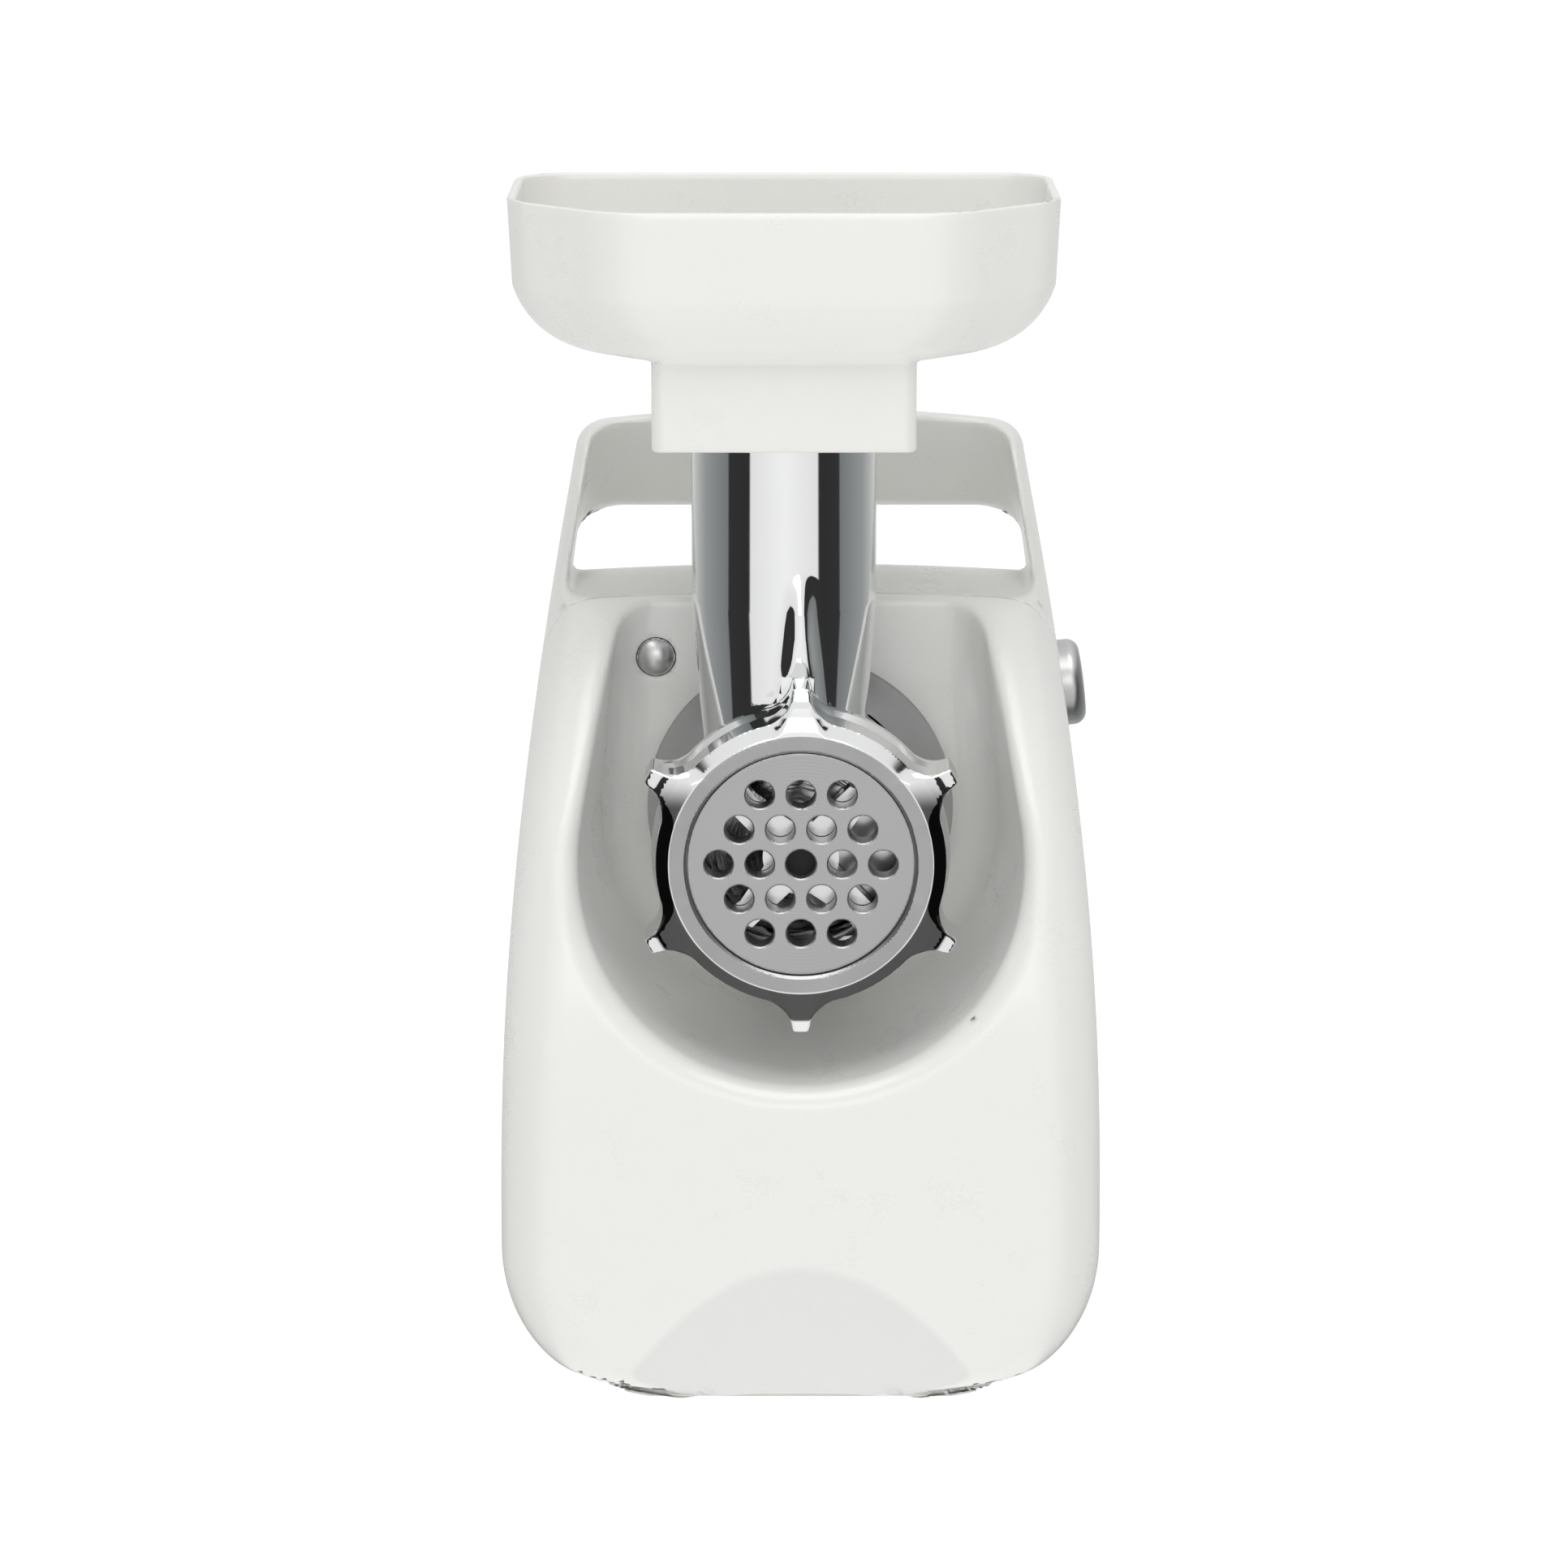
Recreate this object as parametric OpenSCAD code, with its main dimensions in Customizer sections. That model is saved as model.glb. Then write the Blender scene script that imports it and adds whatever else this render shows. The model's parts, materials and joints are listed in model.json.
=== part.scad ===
// Electric meat grinder: a tabletop machine with a front-mounted mincing head.
// X is across the body, Y runs from the mouth (front, -Y) to the back, Z is up.
// The origin is on the table under the middle of the body.

/* [Housing] */
// Width of the body at its widest
body_w = 152; // [148:1:184]
// Depth of the body from the nose to the back
body_d = 182; // [182:1:200]
// Height of the top of the carrying handle
handle_z = 238; // [236:1:285]
// Height of the shoulders, where the handle arms begin
shoulder_z = 197; // [193:1:206]
// Height above which the front face leans back
nose_z = 80; // [66:1:90]
// How far the shoulders stand back from the nose
shoulder_setback = 66; // [62:1:70]
// How much narrower each side is at the top of the handle
side_lean = 18.2; // [15:0.2:21]
// How much the back leans in at the top of the handle
back_lean = 44; // [38:1:50]
// Wall of the plastic shells
shell_wall = 2.8; // [2.2:0.1:3.4]
// Width of the rounding at the lower corners
foot_round_w = 31; // [25:1:36]
// Height of the rounding at the lower corners
foot_round_h = 37; // [30:1:44]
// Corner radius of the body in plan, at the front
front_corner_r = 16; // [12:1:20]
// Corner radius of the body in plan, at the back
back_corner_r = 22; // [18:1:26]
// Gap of the parting line between the two shells
seam_gap = 0.3; // [0.2:0.05:0.5]
// Depth of the front shell's side wall
seam_depth = 24; // [20:1:30]
// Height of the scoop in the foot of the front face
scoop_h = 31; // [25:1:37]
// Half width of the scoop
scoop_half_w = 44; // [36:1:50]
// Depth of the scoop at its foot
scoop_depth = 5.5; // [4:0.5:6.5]

/* [Handle] */
// Thickness of each handle arm
arm_t = 4; // [3:0.25:5]
// Thickness of the handle band
band_t = 9.5; // [8:0.5:11]
// Height of the handle band
band_h = 31; // [24:1:31]
// Depth of the top surface in front of the handle
deck_d = 51; // [46:1:56]

/* [Recess] */
// Height of the head's axis above the table
axis_z = 143; // [138:1:146]
// Radius of the recess at its mouth
recess_r = 57; // [55:0.5:60]
// Radius of the recess at its back wall
recess_back_r = 50; // [48:0.5:53]
// Distance from the nose to the back wall of the recess
recess_depth = 67; // [66:1:70]

/* [Head] */
// Outer diameter of the grinding plate
plate_d = 62; // [60:0.5:64]
// Thickness of the grinding plate
plate_t = 5; // [4:0.5:6]
// Diameter of the holes in the grinding plate
plate_hole_d = 7; // [5:0.5:7.5]
// Distance between neighbouring holes
plate_pitch = 10.2; // [9.6:0.1:10.8]
// Diameter of the plate's centre hole
plate_bore_d = 7.4; // [6:0.2:8]
// Opening of the ring nut in front of the plate
nut_opening_d = 57; // [54:0.5:58]
// Outer diameter of the ring nut without its lugs
nut_d = 75; // [74:0.5:78]
// Depth of the ring nut
nut_depth = 17; // [15:0.5:17.5]
// Thickness of the ring nut's front lip
nut_lip = 3; // [2:0.5:4]
// Circle that the tips of the ring nut's lugs reach
nut_lug_d = 88; // [84:1:90]
// Number of lugs on the ring nut
nut_lugs = 6; // [4:1:8]
// Bore of the barrel round the auger
barrel_bore_d = 53; // [50:1:54]
// Wall of the barrel
barrel_wall = 3.5; // [3:0.25:4]
// Outer diameter of the feed tube
tube_d = 46.6; // [42:0.2:50]
// Wall of the feed tube
tube_wall = 2.3; // [1.8:0.1:3]
// Sideways offset of the feed tube from the barrel's axis
tube_x = -4.2; // [-6:0.2:6]
// Distance of the feed tube's axis behind the nut's face
tube_y = 40; // [39:0.5:41]
// Height of the feed tube's rim above the table
tube_top_z = 264; // [252:1:272]
// Angle that the head turns through to free its lugs
head_twist = 20; // [15:1:22]

/* [Tray] */
// Width of the tray
tray_w = 137; // [120:1:160]
// Depth of the tray
tray_d = 88; // [78:1:96]
// Height of the tray bowl
tray_h = 38; // [30:1:46]
// Wall of the tray
tray_wall = 2.2; // [1.8:0.1:2.8]
// Width of the collar under the tray
collar_w = 65; // [60:1:72]
// Depth of the collar under the tray
collar_d = 60; // [56:1:64]
// Height of the collar under the tray
collar_h = 22; // [20:1:30]
// Clearance of the collar's bore round the feed tube
tray_fit = 0.3; // [0.2:0.05:0.5]

/* [Drive] */
// Teeth of the motor pinion and of the middle pinion
pinion_teeth = 8; // [8:1:9]
// Teeth of the middle gear
middle_teeth = 56; // [52:1:58]
// Teeth of the output gear
output_teeth = 72; // [68:1:73]
// Module of the first gear pair
first_module = 0.9; // [0.85:0.05:0.95]
// Module of the second gear pair
second_module = 1.15; // [1.05:0.05:1.2]
// Height of the motor's axis above the table
motor_z = 71; // [70:1:73]
// Radial clearance of every shaft in its bearing
shaft_fit = 0.05; // [0.02:0.01:0.08]
// Diameter of the motor shaft
motor_shaft_d = 8; // [6:0.5:9]
// Diameter of the output shaft
output_shaft_d = 12; // [10:0.5:13]
// Outer diameter of the motor's stator
stator_d = 76; // [70:1:80]
// Length of the motor's iron core
core_len = 30; // [26:1:32]
// Outer diameter of the armature
armature_d = 37; // [33:1:39]

/* [Controls] */
// Diameter of the lock button
button_d = 9.8; // [9:0.2:11]
// Sideways place of the lock button from the body's middle
button_x = -37.2; // [-40:0.2:-36]
// Height of the lock button above the head's axis
button_rise = 39; // [37:0.5:41]
// Travel of the lock button
button_travel = 4; // [3:0.5:5]
// Diameter of the switch knob
knob_d = 22.5; // [20:0.5:25]
// Height of the switch knob above the table
knob_z = 171; // [168:1:174]
// Distance of the switch knob behind the middle of the body
knob_y = -4; // [-10:1:4]
// Height that the switch knob stands out
knob_h = 6; // [5:0.5:7]

/* [Hidden] */

$fn = 64;
hull_fn = 28;
eps = 0.01;
slab_t = 0.05;

foot_h = 3;
front_y = -body_d / 2;
back_y = body_d / 2;
nut_face_y = front_y + 1;
wall_y = front_y + recess_depth;
full_w_z = foot_h + foot_round_h + 5;
top_round = 7;

function sq(v) = v * v;

// Shape of the body: half width, front and back at a height
function taper(z) = side_lean * sq(max(0, z - full_w_z) / (handle_z - full_w_z));
function foot_rise(z) = max(0, foot_round_h - max(0.6, z - foot_h)) / foot_round_h;
function foot_cut(z) = foot_round_w * (1 - sqrt(1 - sq(foot_rise(z))));
function top_cut(z) = top_round * (1 - sqrt(1 - sq(min(1, max(0, z - handle_z + top_round) / top_round))));
function half_w(z) = body_w / 2 - taper(z) - foot_cut(z) - top_cut(z);
function setback(z) = shoulder_setback * pow(max(0, z - nose_z) / (shoulder_z - nose_z), 2.3);
function lean_in(z) = back_lean * sq(max(0, z - nose_z - 10) / (handle_z - nose_z - 10));
function toe_in(z) = 3 * sq(max(0, foot_h + 8 - z) / 8);
function front_at(z) = front_y + setback(z) + toe_in(z);
function back_at(z) = back_y - lean_in(z) - toe_in(z);

levels = concat(
    [for (i = [0:5]) foot_h + foot_round_h * sq(i / 5)],
    [for (i = [1:7]) foot_h + foot_round_h + (handle_z - top_round - foot_h - foot_round_h) * i / 7],
    [for (i = [1:3]) handle_z - top_round + top_round * sin(30 * i)]
);

// One level of the body as a thin slab with round corners
module level_slab(z, inset) {
    w = half_w(z) - inset;
    f = front_at(z) + inset;
    b = back_at(z) - inset;
    thick = b - f;
    rf = max(1, min(front_corner_r - inset, thick * 0.3));
    rb = max(1, min(back_corner_r - inset, thick * 0.4));
    for (side = [-1, 1]) {
        translate([side * (w - rf), f + rf, z])
            cylinder(r = rf, h = eps, $fn = hull_fn);
        translate([side * (w - rb), b - rb, z])
            cylinder(r = rb, h = eps, $fn = hull_fn);
    }
}

module envelope(inset) {
    hull()
        for (z = levels)
            level_slab(min(max(z, foot_h + inset), handle_z - inset), inset);
}

// The U-shaped recess that holds the head, grown by a wall
module recess(grow) {
    hull() {
        for (end = [[front_y - 5, recess_r + 2], [wall_y + grow - eps, recess_back_r]])
            for (rise = [0, 80])
                translate([0, end[0], axis_z + rise])
                    rotate([-90, 0, 0])
                        cylinder(r = end[1] + grow - rise * 0.09, h = eps, $fn = 48);
    }
}

// Space in front of a side outline, right across the body
module side_prism(points, w) {
    translate([-w / 2, 0, 0])
        rotate([90, 0, 90])
            linear_extrude(w)
                polygon(points);
}

// Opening of the handle: above the deck, in front of and under the band
deck_z = shoulder_z + 1.5;
deck_back_y = wall_y + deck_d;
band_low_z = handle_z - band_h;
module handle_gap(grow) {
    low = deck_z - grow;
    drop_y = back_at(axis_z + 22) + 20;
    side_prism([
        [front_y - 20, low], [deck_back_y - grow / 2, low], [deck_back_y + 16, low - 9],
        [drop_y, axis_z + 22 - grow], [back_y + 40, axis_z + 22 - grow], [back_y + 40, band_low_z],
        [back_at(band_low_z) - band_t, band_low_z], [back_at(handle_z - 8) - band_t, handle_z - 8],
        [back_at(handle_z) - band_t, handle_z + 9], [front_y - 20, handle_z + 9]
    ], 2 * body_w);
}

// Space between the two handle arms
module between_arms() {
    low = axis_z;
    translate([0, back_y + 30, 0])
        rotate([90, 0, 0])
            linear_extrude(2 * body_d)
                polygon([
                    [-half_w(low) + arm_t, low], [half_w(low) - arm_t, low],
                    [half_w(shoulder_z) - arm_t, shoulder_z],
                    [half_w(band_low_z) - arm_t, band_low_z],
                    [half_w(handle_z - top_round) - arm_t, handle_z + 20],
                    [-half_w(handle_z - top_round) + arm_t, handle_z + 20],
                    [-half_w(band_low_z) + arm_t, band_low_z],
                    [-half_w(shoulder_z) + arm_t, shoulder_z]
                ]);
}

// Shallow scoop in the foot of the front face, cut by a leaning cylinder
scoop_r = (sq(scoop_half_w) + sq(scoop_depth)) / (2 * scoop_depth);
module scoop(grow) {
    tilt = atan(scoop_depth / scoop_h);
    translate([0, front_y + scoop_depth, foot_h])
        rotate([tilt, 0, 0])
            translate([0, -scoop_r, -20])
                cylinder(r = scoop_r + grow, h = scoop_h + 60, $fn = 128);
}

module body_hollow() {
    difference() {
        envelope(shell_wall);
        recess(shell_wall);
        scoop(shell_wall);
        handle_gap(shell_wall);
    }
}

// Everything in front of the parting surface, moved back by an offset
module front_region(shift) {
    d = seam_depth + shift;
    top = deck_z + 12;
    side_prism(concat(
        [[front_y - 30, 0], [front_y + d, 0]],
        [for (i = [0:8]) let (z = nose_z + (shoulder_z - nose_z - 14) * i / 8)
            [min(front_at(z) + d, wall_y + shell_wall + shift), z]],
        [[wall_y + shell_wall + shift, shoulder_z - 10], [wall_y + shell_wall + shift, top],
            [front_y - 30, top]]
    ), 2 * body_w);
}

// The recess stays whole in the front shell, even behind the parting surface
module front_zone(shift) {
    front_region(shift);
    intersection() {
        recess(shell_wall + shift);
        translate([-body_w, front_y - 20, foot_h])
            cube([2 * body_w, wall_y + shell_wall + shift - front_y + 20, deck_z - foot_h + 0.1]);
    }
}

low_screw = [body_w / 2 - 16, 26];
high_screw = [recess_back_r, axis_z - 25];
post_r = 4.5;
post_end_y = wall_y + 26;
function post_start_y(p) = p[1] == low_screw[1] ? front_y + shell_wall + 1 : wall_y - 8;
function screw_head_y(p) = back_at(p[1]) - 42;
screw_places = [for (side = [-1, 1]) for (p = [low_screw, high_screw]) [side * p[0], p[1]]];
button_z = axis_z + button_rise;

module front_housing() {
    color([0.94, 0.94, 0.92])
        difference() {
            union() {
                difference() {
                    intersection() {
                        difference() {
                            envelope(0);
                            recess(0);
                            scoop(0);
                            body_hollow();
                        }
                        front_zone(0);
                    }
                    intersection() {
                        handle_gap(0);
                        between_arms();
                    }
                }
                for (p = screw_places)
                    translate([p[0], post_start_y(p), p[1]])
                        rotate([-90, 0, 0])
                            cylinder(r = post_r, h = post_end_y - post_start_y(p));
            }
            base_opening();
            for (p = screw_places)
                translate([p[0], post_end_y - 16, p[1]])
                    rotate([-90, 0, 0])
                        cylinder(r = 1.65, h = 20);
            translate([0, wall_y - 6, axis_z])
                rotate([-90, 0, 0])
                    cylinder(r = socket_neck_r + 0.2, h = 20);
            translate([button_x, wall_y - 6, button_z])
                rotate([-90, 0, 0])
                    cylinder(d = button_d + 0.6, h = 30);
        }
}

vent_w = 3;
vent_len = 46;
module rear_housing() {
    color([0.94, 0.94, 0.92])
        difference() {
            union() {
                difference() {
                    envelope(0);
                    scoop(0);
                    body_hollow();
                    front_zone(seam_gap);
                    intersection() {
                        handle_gap(0);
                        between_arms();
                    }
                }
                base_bosses();
                intersection() {
                    envelope(0.5);
                    for (p = screw_places)
                        translate([p[0], post_end_y + 0.2, p[1]])
                            rotate([-90, 0, 0])
                                cylinder(r = post_r + 1.5, h = body_d);
                }
            }
            for (p = screw_places) {
                translate([p[0], screw_head_y(p), p[1]])
                    rotate([-90, 0, 0])
                        cylinder(r = 3.8, h = body_d);
                translate([p[0], post_end_y - 10, p[1]])
                    rotate([-90, 0, 0])
                        cylinder(r = 1.8, h = body_d);
            }
            for (i = [-4:4])
                translate([i * 8 - vent_w / 2, back_y - 20, motor_z - vent_len / 2])
                    cube([vent_w, 40, vent_len]);
            translate([inlet_x, back_y - 20, inlet_z])
                rotate([-90, 0, 0])
                    cylinder(r = inlet_r, h = 40);
            knob_place()
                translate([0, 0, -20])
                    cylinder(r = spindle_r + 0.3, h = 40);
            knob_place()
                translate([0, 0, -0.6])
                    cylinder(d = knob_d + 1, h = 10);
            difference() {
                base_opening();
                base_bosses();
            }
            for (p = base_screw_places)
                translate([p[0], p[1], foot_h - 1])
                    cylinder(r = 1.7, h = 11.5);
        }
}

// Base plate closes the opening in the floor of the shells
base_t = 1.6;
base_inset = 16;
base_lip = 5;
peg_x = body_w / 2 - foot_round_w - 8;
module base_outline(inset, h) {
    linear_extrude(h)
        hull()
            for (sx = [-1, 1])
                for (y = [front_y + base_inset + inset, back_y - base_inset + 8 - inset])
                    translate([sx * (peg_x + 2 - inset), y])
                        circle(r = 6, $fn = hull_fn);
}

// Bosses of the rear shell for the base screws, and the opening that the plate closes
module base_bosses() {
    for (p = base_screw_places)
        translate([p[0], p[1], foot_h])
            cylinder(r = 4.2, h = 12);
}

module base_opening() {
    translate([0, 0, foot_h - 1])
        base_outline(base_lip, shell_wall + 2);
}

foot_places = [for (sx = [-1, 1]) for (y = [front_y + base_inset + 6, back_y - base_inset])
    [sx * peg_x, y]];
base_screw_places = [for (sx = [-1, 1]) for (y = [front_y + 45, back_y - 40])
    [sx * peg_x, y]];
foot_peg_r = 2.5;
module base_plate() {
    color([0.85, 0.85, 0.84])
        difference() {
            translate([0, 0, foot_h - base_t])
                base_outline(0, base_t);
            for (p = foot_places)
                translate([p[0], p[1], 0])
                    cylinder(r = foot_peg_r + 0.1, h = 6);
            for (p = base_screw_places)
                translate([p[0], p[1], 0])
                    cylinder(r = 1.7, h = 6);
            for (i = [-4:4])
                translate([i * 7 - 1.5, 5, 0])
                    cube([3, 40, 6]);
        }
}

module rubber_feet() {
    color([0.2, 0.2, 0.2])
        for (p = foot_places)
            translate([p[0], p[1], 0]) {
                cylinder(r1 = 6.5, r2 = 7, h = foot_h - base_t);
                cylinder(r = foot_peg_r, h = foot_h - 0.1);
            }
}

module base_screws() {
    color("silver")
        for (p = base_screw_places)
            translate([p[0], p[1], 0])
                screw(1.6, 3, foot_h - base_t, 10);
}

// A pan-head screw pointing up, with its head's top face at a height
module screw(r, head_r, head_z, len) {
    difference() {
        union() {
            translate([0, 0, head_z - 1.2])
                cylinder(r = head_r, h = 1.2);
            translate([0, 0, head_z - 0.2])
                cylinder(r = r, h = len);
        }
        for (a = [0, 90])
            rotate([0, 0, a])
                translate([-head_r * 0.6, -0.4, head_z - 2])
                    cube([head_r * 1.2, 0.8, 1.4]);
    }
}

module housing_screws() {
    color("silver")
        for (p = screw_places)
            translate([p[0], screw_head_y(p) + 1.25, p[1]])
                rotate([90, 0, 0])
                    screw(1.5, 3.2, 1.2, screw_head_y(p) - post_end_y + 12);
}

// Grommet in the back wall where the mains lead goes in
inlet_x = 44;
inlet_z = 24;
inlet_r = 6;
module cord_inlet() {
    color([0.15, 0.15, 0.15])
        translate([inlet_x, back_y, inlet_z])
            rotate([90, 0, 0])
                difference() {
                    union() {
                        translate([0, 0, -0.01])
                            cylinder(r = inlet_r - 0.1, h = 8);
                        translate([0, 0, 0.4])
                            cylinder(r = inlet_r - 0.1, h = 1);
                        translate([0, 0, 4.5])
                            cylinder(r = inlet_r + 2, h = 2.5);
                    }
                    translate([0, 0, -5])
                        cylinder(r = 3.6, h = 20);
                }
}

// Bayonet socket ring on the back wall of the recess
barrel_r = barrel_bore_d / 2 + barrel_wall;
lug_r = barrel_r + 4.5;
lug_t = 4;
lug_angle = 16;
lug_fit = 0.4;
socket_neck_r = lug_r + 2.5;
socket_r = socket_neck_r + 2.5;
socket_front_y = wall_y - 3.5;
socket_groove_y = socket_front_y + 2.5;
lug_y = socket_groove_y + lug_fit;
barrel_back_y = wall_y + 5;
socket_back_y = barrel_back_y + 1.8;
module along_y(y) {
    translate([0, y, axis_z])
        rotate([-90, 0, 0])
            children();
}

// Three wedges round the head's axis, centred on angles seen from the front
module wedges(angle, r, h, turn) {
    for (i = [0:2])
        rotate([0, 0, -90 + turn + 120 * i])
            rotate_extrude(angle = angle, $fn = 96)
                square([r, h]);
}

module socket_ring() {
    color("silver")
        difference() {
            union() {
                along_y(socket_front_y)
                    cylinder(r = socket_r, h = wall_y - socket_front_y);
                along_y(wall_y - eps)
                    cylinder(r = socket_neck_r, h = socket_back_y - wall_y);
            }
            along_y(socket_front_y - 1)
                cylinder(r = barrel_r + 0.3, h = barrel_back_y + 0.3 - socket_front_y + 1);
            along_y(socket_groove_y)
                cylinder(r = lug_r + lug_fit, h = lug_t + 2 * lug_fit);
            along_y(socket_front_y - 1)
                wedges(lug_angle + 4, lug_r + lug_fit, socket_groove_y - socket_front_y + 2,
                    -lug_angle / 2 - 2 + head_twist);
            along_y(wall_y)
                cylinder(r = 14, h = 20);
            latch_path(0.3, wall_y - 3, 20);
        }
}

// Gear train: the motor pinion drives the middle gear, whose pinion drives the output gear
pressure_angle = 25;
pinion_shift = 0.3;
tooth_play = 0.06;
first_distance = first_module * (pinion_teeth + middle_teeth) / 2;
second_distance = second_module * (pinion_teeth + output_teeth) / 2;
train_drop = axis_z - motor_z;
middle_drop = (sq(second_distance) - sq(first_distance) + sq(train_drop)) / (2 * train_drop);
middle_x = sqrt(sq(second_distance) - sq(middle_drop));
middle_z = axis_z - middle_drop;

function involute(rb, r) = let (t = sqrt(max(0, sq(r / rb) - 1))) t * 180 / PI - atan(t);
function half_tooth(m, z, x, r) = let (
    rp = m * z / 2, rb = rp * cos(pressure_angle),
    half = (m * (PI / 2 + 2 * x * tan(pressure_angle)) - tooth_play) / 2 / rp * 180 / PI
) half + involute(rb, rp) - involute(rb, max(r, rb));

// Outline of an involute gear with one tooth on the +X axis
module gear_outline(m, z, x) {
    rp = m * z / 2;
    rb = rp * cos(pressure_angle);
    tip = rp + m * (1 + x);
    root = rp - m * (1.25 - x);
    low = max(root, rb);
    radii = [for (i = [0:3]) low + (tip - low) * i / 3];
    polygon([for (k = [0:z - 1]) let (a = 360 * k / z) each concat(
        root < rb ? [[root * cos(a - half_tooth(m, z, x, rb)), root * sin(a - half_tooth(m, z, x, rb))]] : [],
        [for (r = radii) [r * cos(a - half_tooth(m, z, x, r)), r * sin(a - half_tooth(m, z, x, r))]],
        [for (i = [3:-1:0]) [radii[i] * cos(a + half_tooth(m, z, x, radii[i])),
            radii[i] * sin(a + half_tooth(m, z, x, radii[i]))]],
        root < rb ? [[root * cos(a + half_tooth(m, z, x, rb)), root * sin(a + half_tooth(m, z, x, rb))]] : []
    )]);
}

// A gear standing across the Y axis, its first tooth at an angle in the XZ plane
module gear_at(x, z, y, h, m, teeth, shift, aim, bore_r) {
    translate([x, y + h, z])
        rotate([90, 0, 0])
            difference() {
                linear_extrude(h)
                    rotate(aim)
                        gear_outline(m, teeth, shift);
                translate([0, 0, -1])
                    cylinder(r = bore_r, h = h + 2);
            }
}

latch_y = socket_back_y + 0.5;
latch_t = 1.9;
cover_y = latch_y + latch_t + button_travel + 0.8;
cover_t = 4;
gears_y = cover_y + cover_t + 1;
output_gear_h = 10;
middle_gear_y = gears_y + output_gear_h + 1;
middle_gear_h = 8;
case_end_y = middle_gear_y + middle_gear_h + 2.5;
case_wall = 2.5;
gear_room = 1.5;
output_gear_r = second_module * (output_teeth / 2 + 0.7);
middle_gear_r = first_module * (middle_teeth / 2 + 0.7);
output_r = output_shaft_d / 2;
middle_pin_r = 2.4;
toward_middle = atan2(-middle_drop, middle_x);
toward_motor = atan2(motor_z - middle_z, -middle_x);

module output_gear() {
    color([0.9, 0.88, 0.8])
        gear_at(0, axis_z, gears_y, output_gear_h, second_module, output_teeth, -pinion_shift,
            toward_middle, output_r + 0.02);
}

module middle_pinion() {
    color("silver")
        gear_at(middle_x, middle_z, gears_y - 0.5, middle_gear_y - gears_y + 0.5, second_module, pinion_teeth,
            pinion_shift, toward_middle + 180 + 180 / pinion_teeth, middle_pin_r + shaft_fit);
}

module middle_gear() {
    color([0.9, 0.88, 0.8])
        gear_at(middle_x, middle_z, middle_gear_y, middle_gear_h, first_module, middle_teeth, -pinion_shift,
            toward_motor, middle_pin_r + shaft_fit);
}

module motor_pinion() {
    color("silver")
        gear_at(0, motor_z, middle_gear_y - 1, middle_gear_h + 2, first_module, pinion_teeth, pinion_shift,
            toward_motor + 180 + 180 / pinion_teeth, motor_pinion_bore);
}
motor_r = motor_shaft_d / 2;
motor_pinion_bore = 2.02;

module middle_pin() {
    color("silver")
        translate([middle_x, cover_y + 1.5, middle_z])
            rotate([-90, 0, 0])
                cylinder(r = middle_pin_r, h = case_end_y + case_wall - cover_y - 2.5);
}

// Outline of the gearbox round the three shafts
module gearbox_outline(grow) {
    hull() {
        translate([0, axis_z])
            circle(r = output_gear_r + gear_room + grow, $fn = 96);
        translate([middle_x, middle_z])
            circle(r = middle_gear_r + gear_room + grow, $fn = 96);
        translate([0, motor_z])
            circle(r = 12 + grow, $fn = 96);
    }
}

module xz_extrude(y, h) {
    translate([0, y + h, 0])
        rotate([90, 0, 0])
            linear_extrude(h)
                children();
}

gearbox_skin = gear_room + case_wall + 2;
gear_screw_places = [
    [-output_gear_r - gearbox_skin, axis_z + 8], [output_gear_r + gearbox_skin, axis_z + 8],
    [-12 - gearbox_skin + gear_room, motor_z - 5],
    [middle_x + (middle_gear_r + gearbox_skin) * cos(50), middle_z - (middle_gear_r + gearbox_skin) * sin(50)]
];
module gearbox_ears(y, h, r) {
    for (p = gear_screw_places)
        translate([p[0], y, p[1]])
            rotate([-90, 0, 0])
                cylinder(r = r, h = h);
}

// Arm of the cover that the lock button's spring leans on
module spring_seat() {
    translate([0, cover_y + cover_t, axis_z])
        rotate([90, -latch_angle, 0])
            translate([output_gear_r, -5, 0])
                cube([latch_reach + 5 - output_gear_r, 10, 2]);
}

cover_boss_r = 11;
module gearbox_cover() {
    color([0.7, 0.71, 0.72])
        difference() {
            union() {
                xz_extrude(cover_y, cover_t)
                    gearbox_outline(case_wall);
                gearbox_ears(cover_y, cover_t, 4.5);
                spring_seat();
            }
            gearbox_ears(cover_y - 1, cover_t + 2, 1.7);
            along_y(cover_y - 1)
                cylinder(r = cover_boss_r - 2, h = cover_t + 2);
            translate([middle_x, cover_y + 1.4, middle_z])
                rotate([-90, 0, 0])
                    cylinder(r = middle_pin_r + 0.02, h = cover_t);
        }
}

module gearbox_case() {
    color([0.7, 0.71, 0.72])
        difference() {
            union() {
                xz_extrude(cover_y + cover_t + 0.05, case_end_y + case_wall - cover_y - cover_t)
                    gearbox_outline(case_wall);
                gearbox_ears(cover_y + cover_t + 0.05, 10, 4.5);
            }
            xz_extrude(cover_y, case_end_y - cover_y - 2)
                gearbox_outline(0);
            gearbox_ears(cover_y, 12, 1.7);
            along_y(case_end_y - 4)
                cylinder(r = output_r + shaft_fit, h = 5.5);
            translate([middle_x, case_end_y - 6, middle_z])
                rotate([-90, 0, 0])
                    cylinder(r = middle_pin_r + 0.02, h = 10);
            translate([0, case_end_y - 6, motor_z])
                rotate([-90, 0, 0])
                    cylinder(r = motor_r + 1.5, h = 20);
        }
}

module gearbox_screws() {
    color("silver")
        for (p = gear_screw_places)
            translate([p[0], cover_y - 0.02, p[1]])
                rotate([-90, 0, 0])
                    difference() {
                        translate([0, 0, 0])
                            cylinder(r = 1.6, h = 12);
                        translate([-1, -0.3, -1])
                            cube([2, 0.6, 1.8]);
                    }
}

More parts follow.
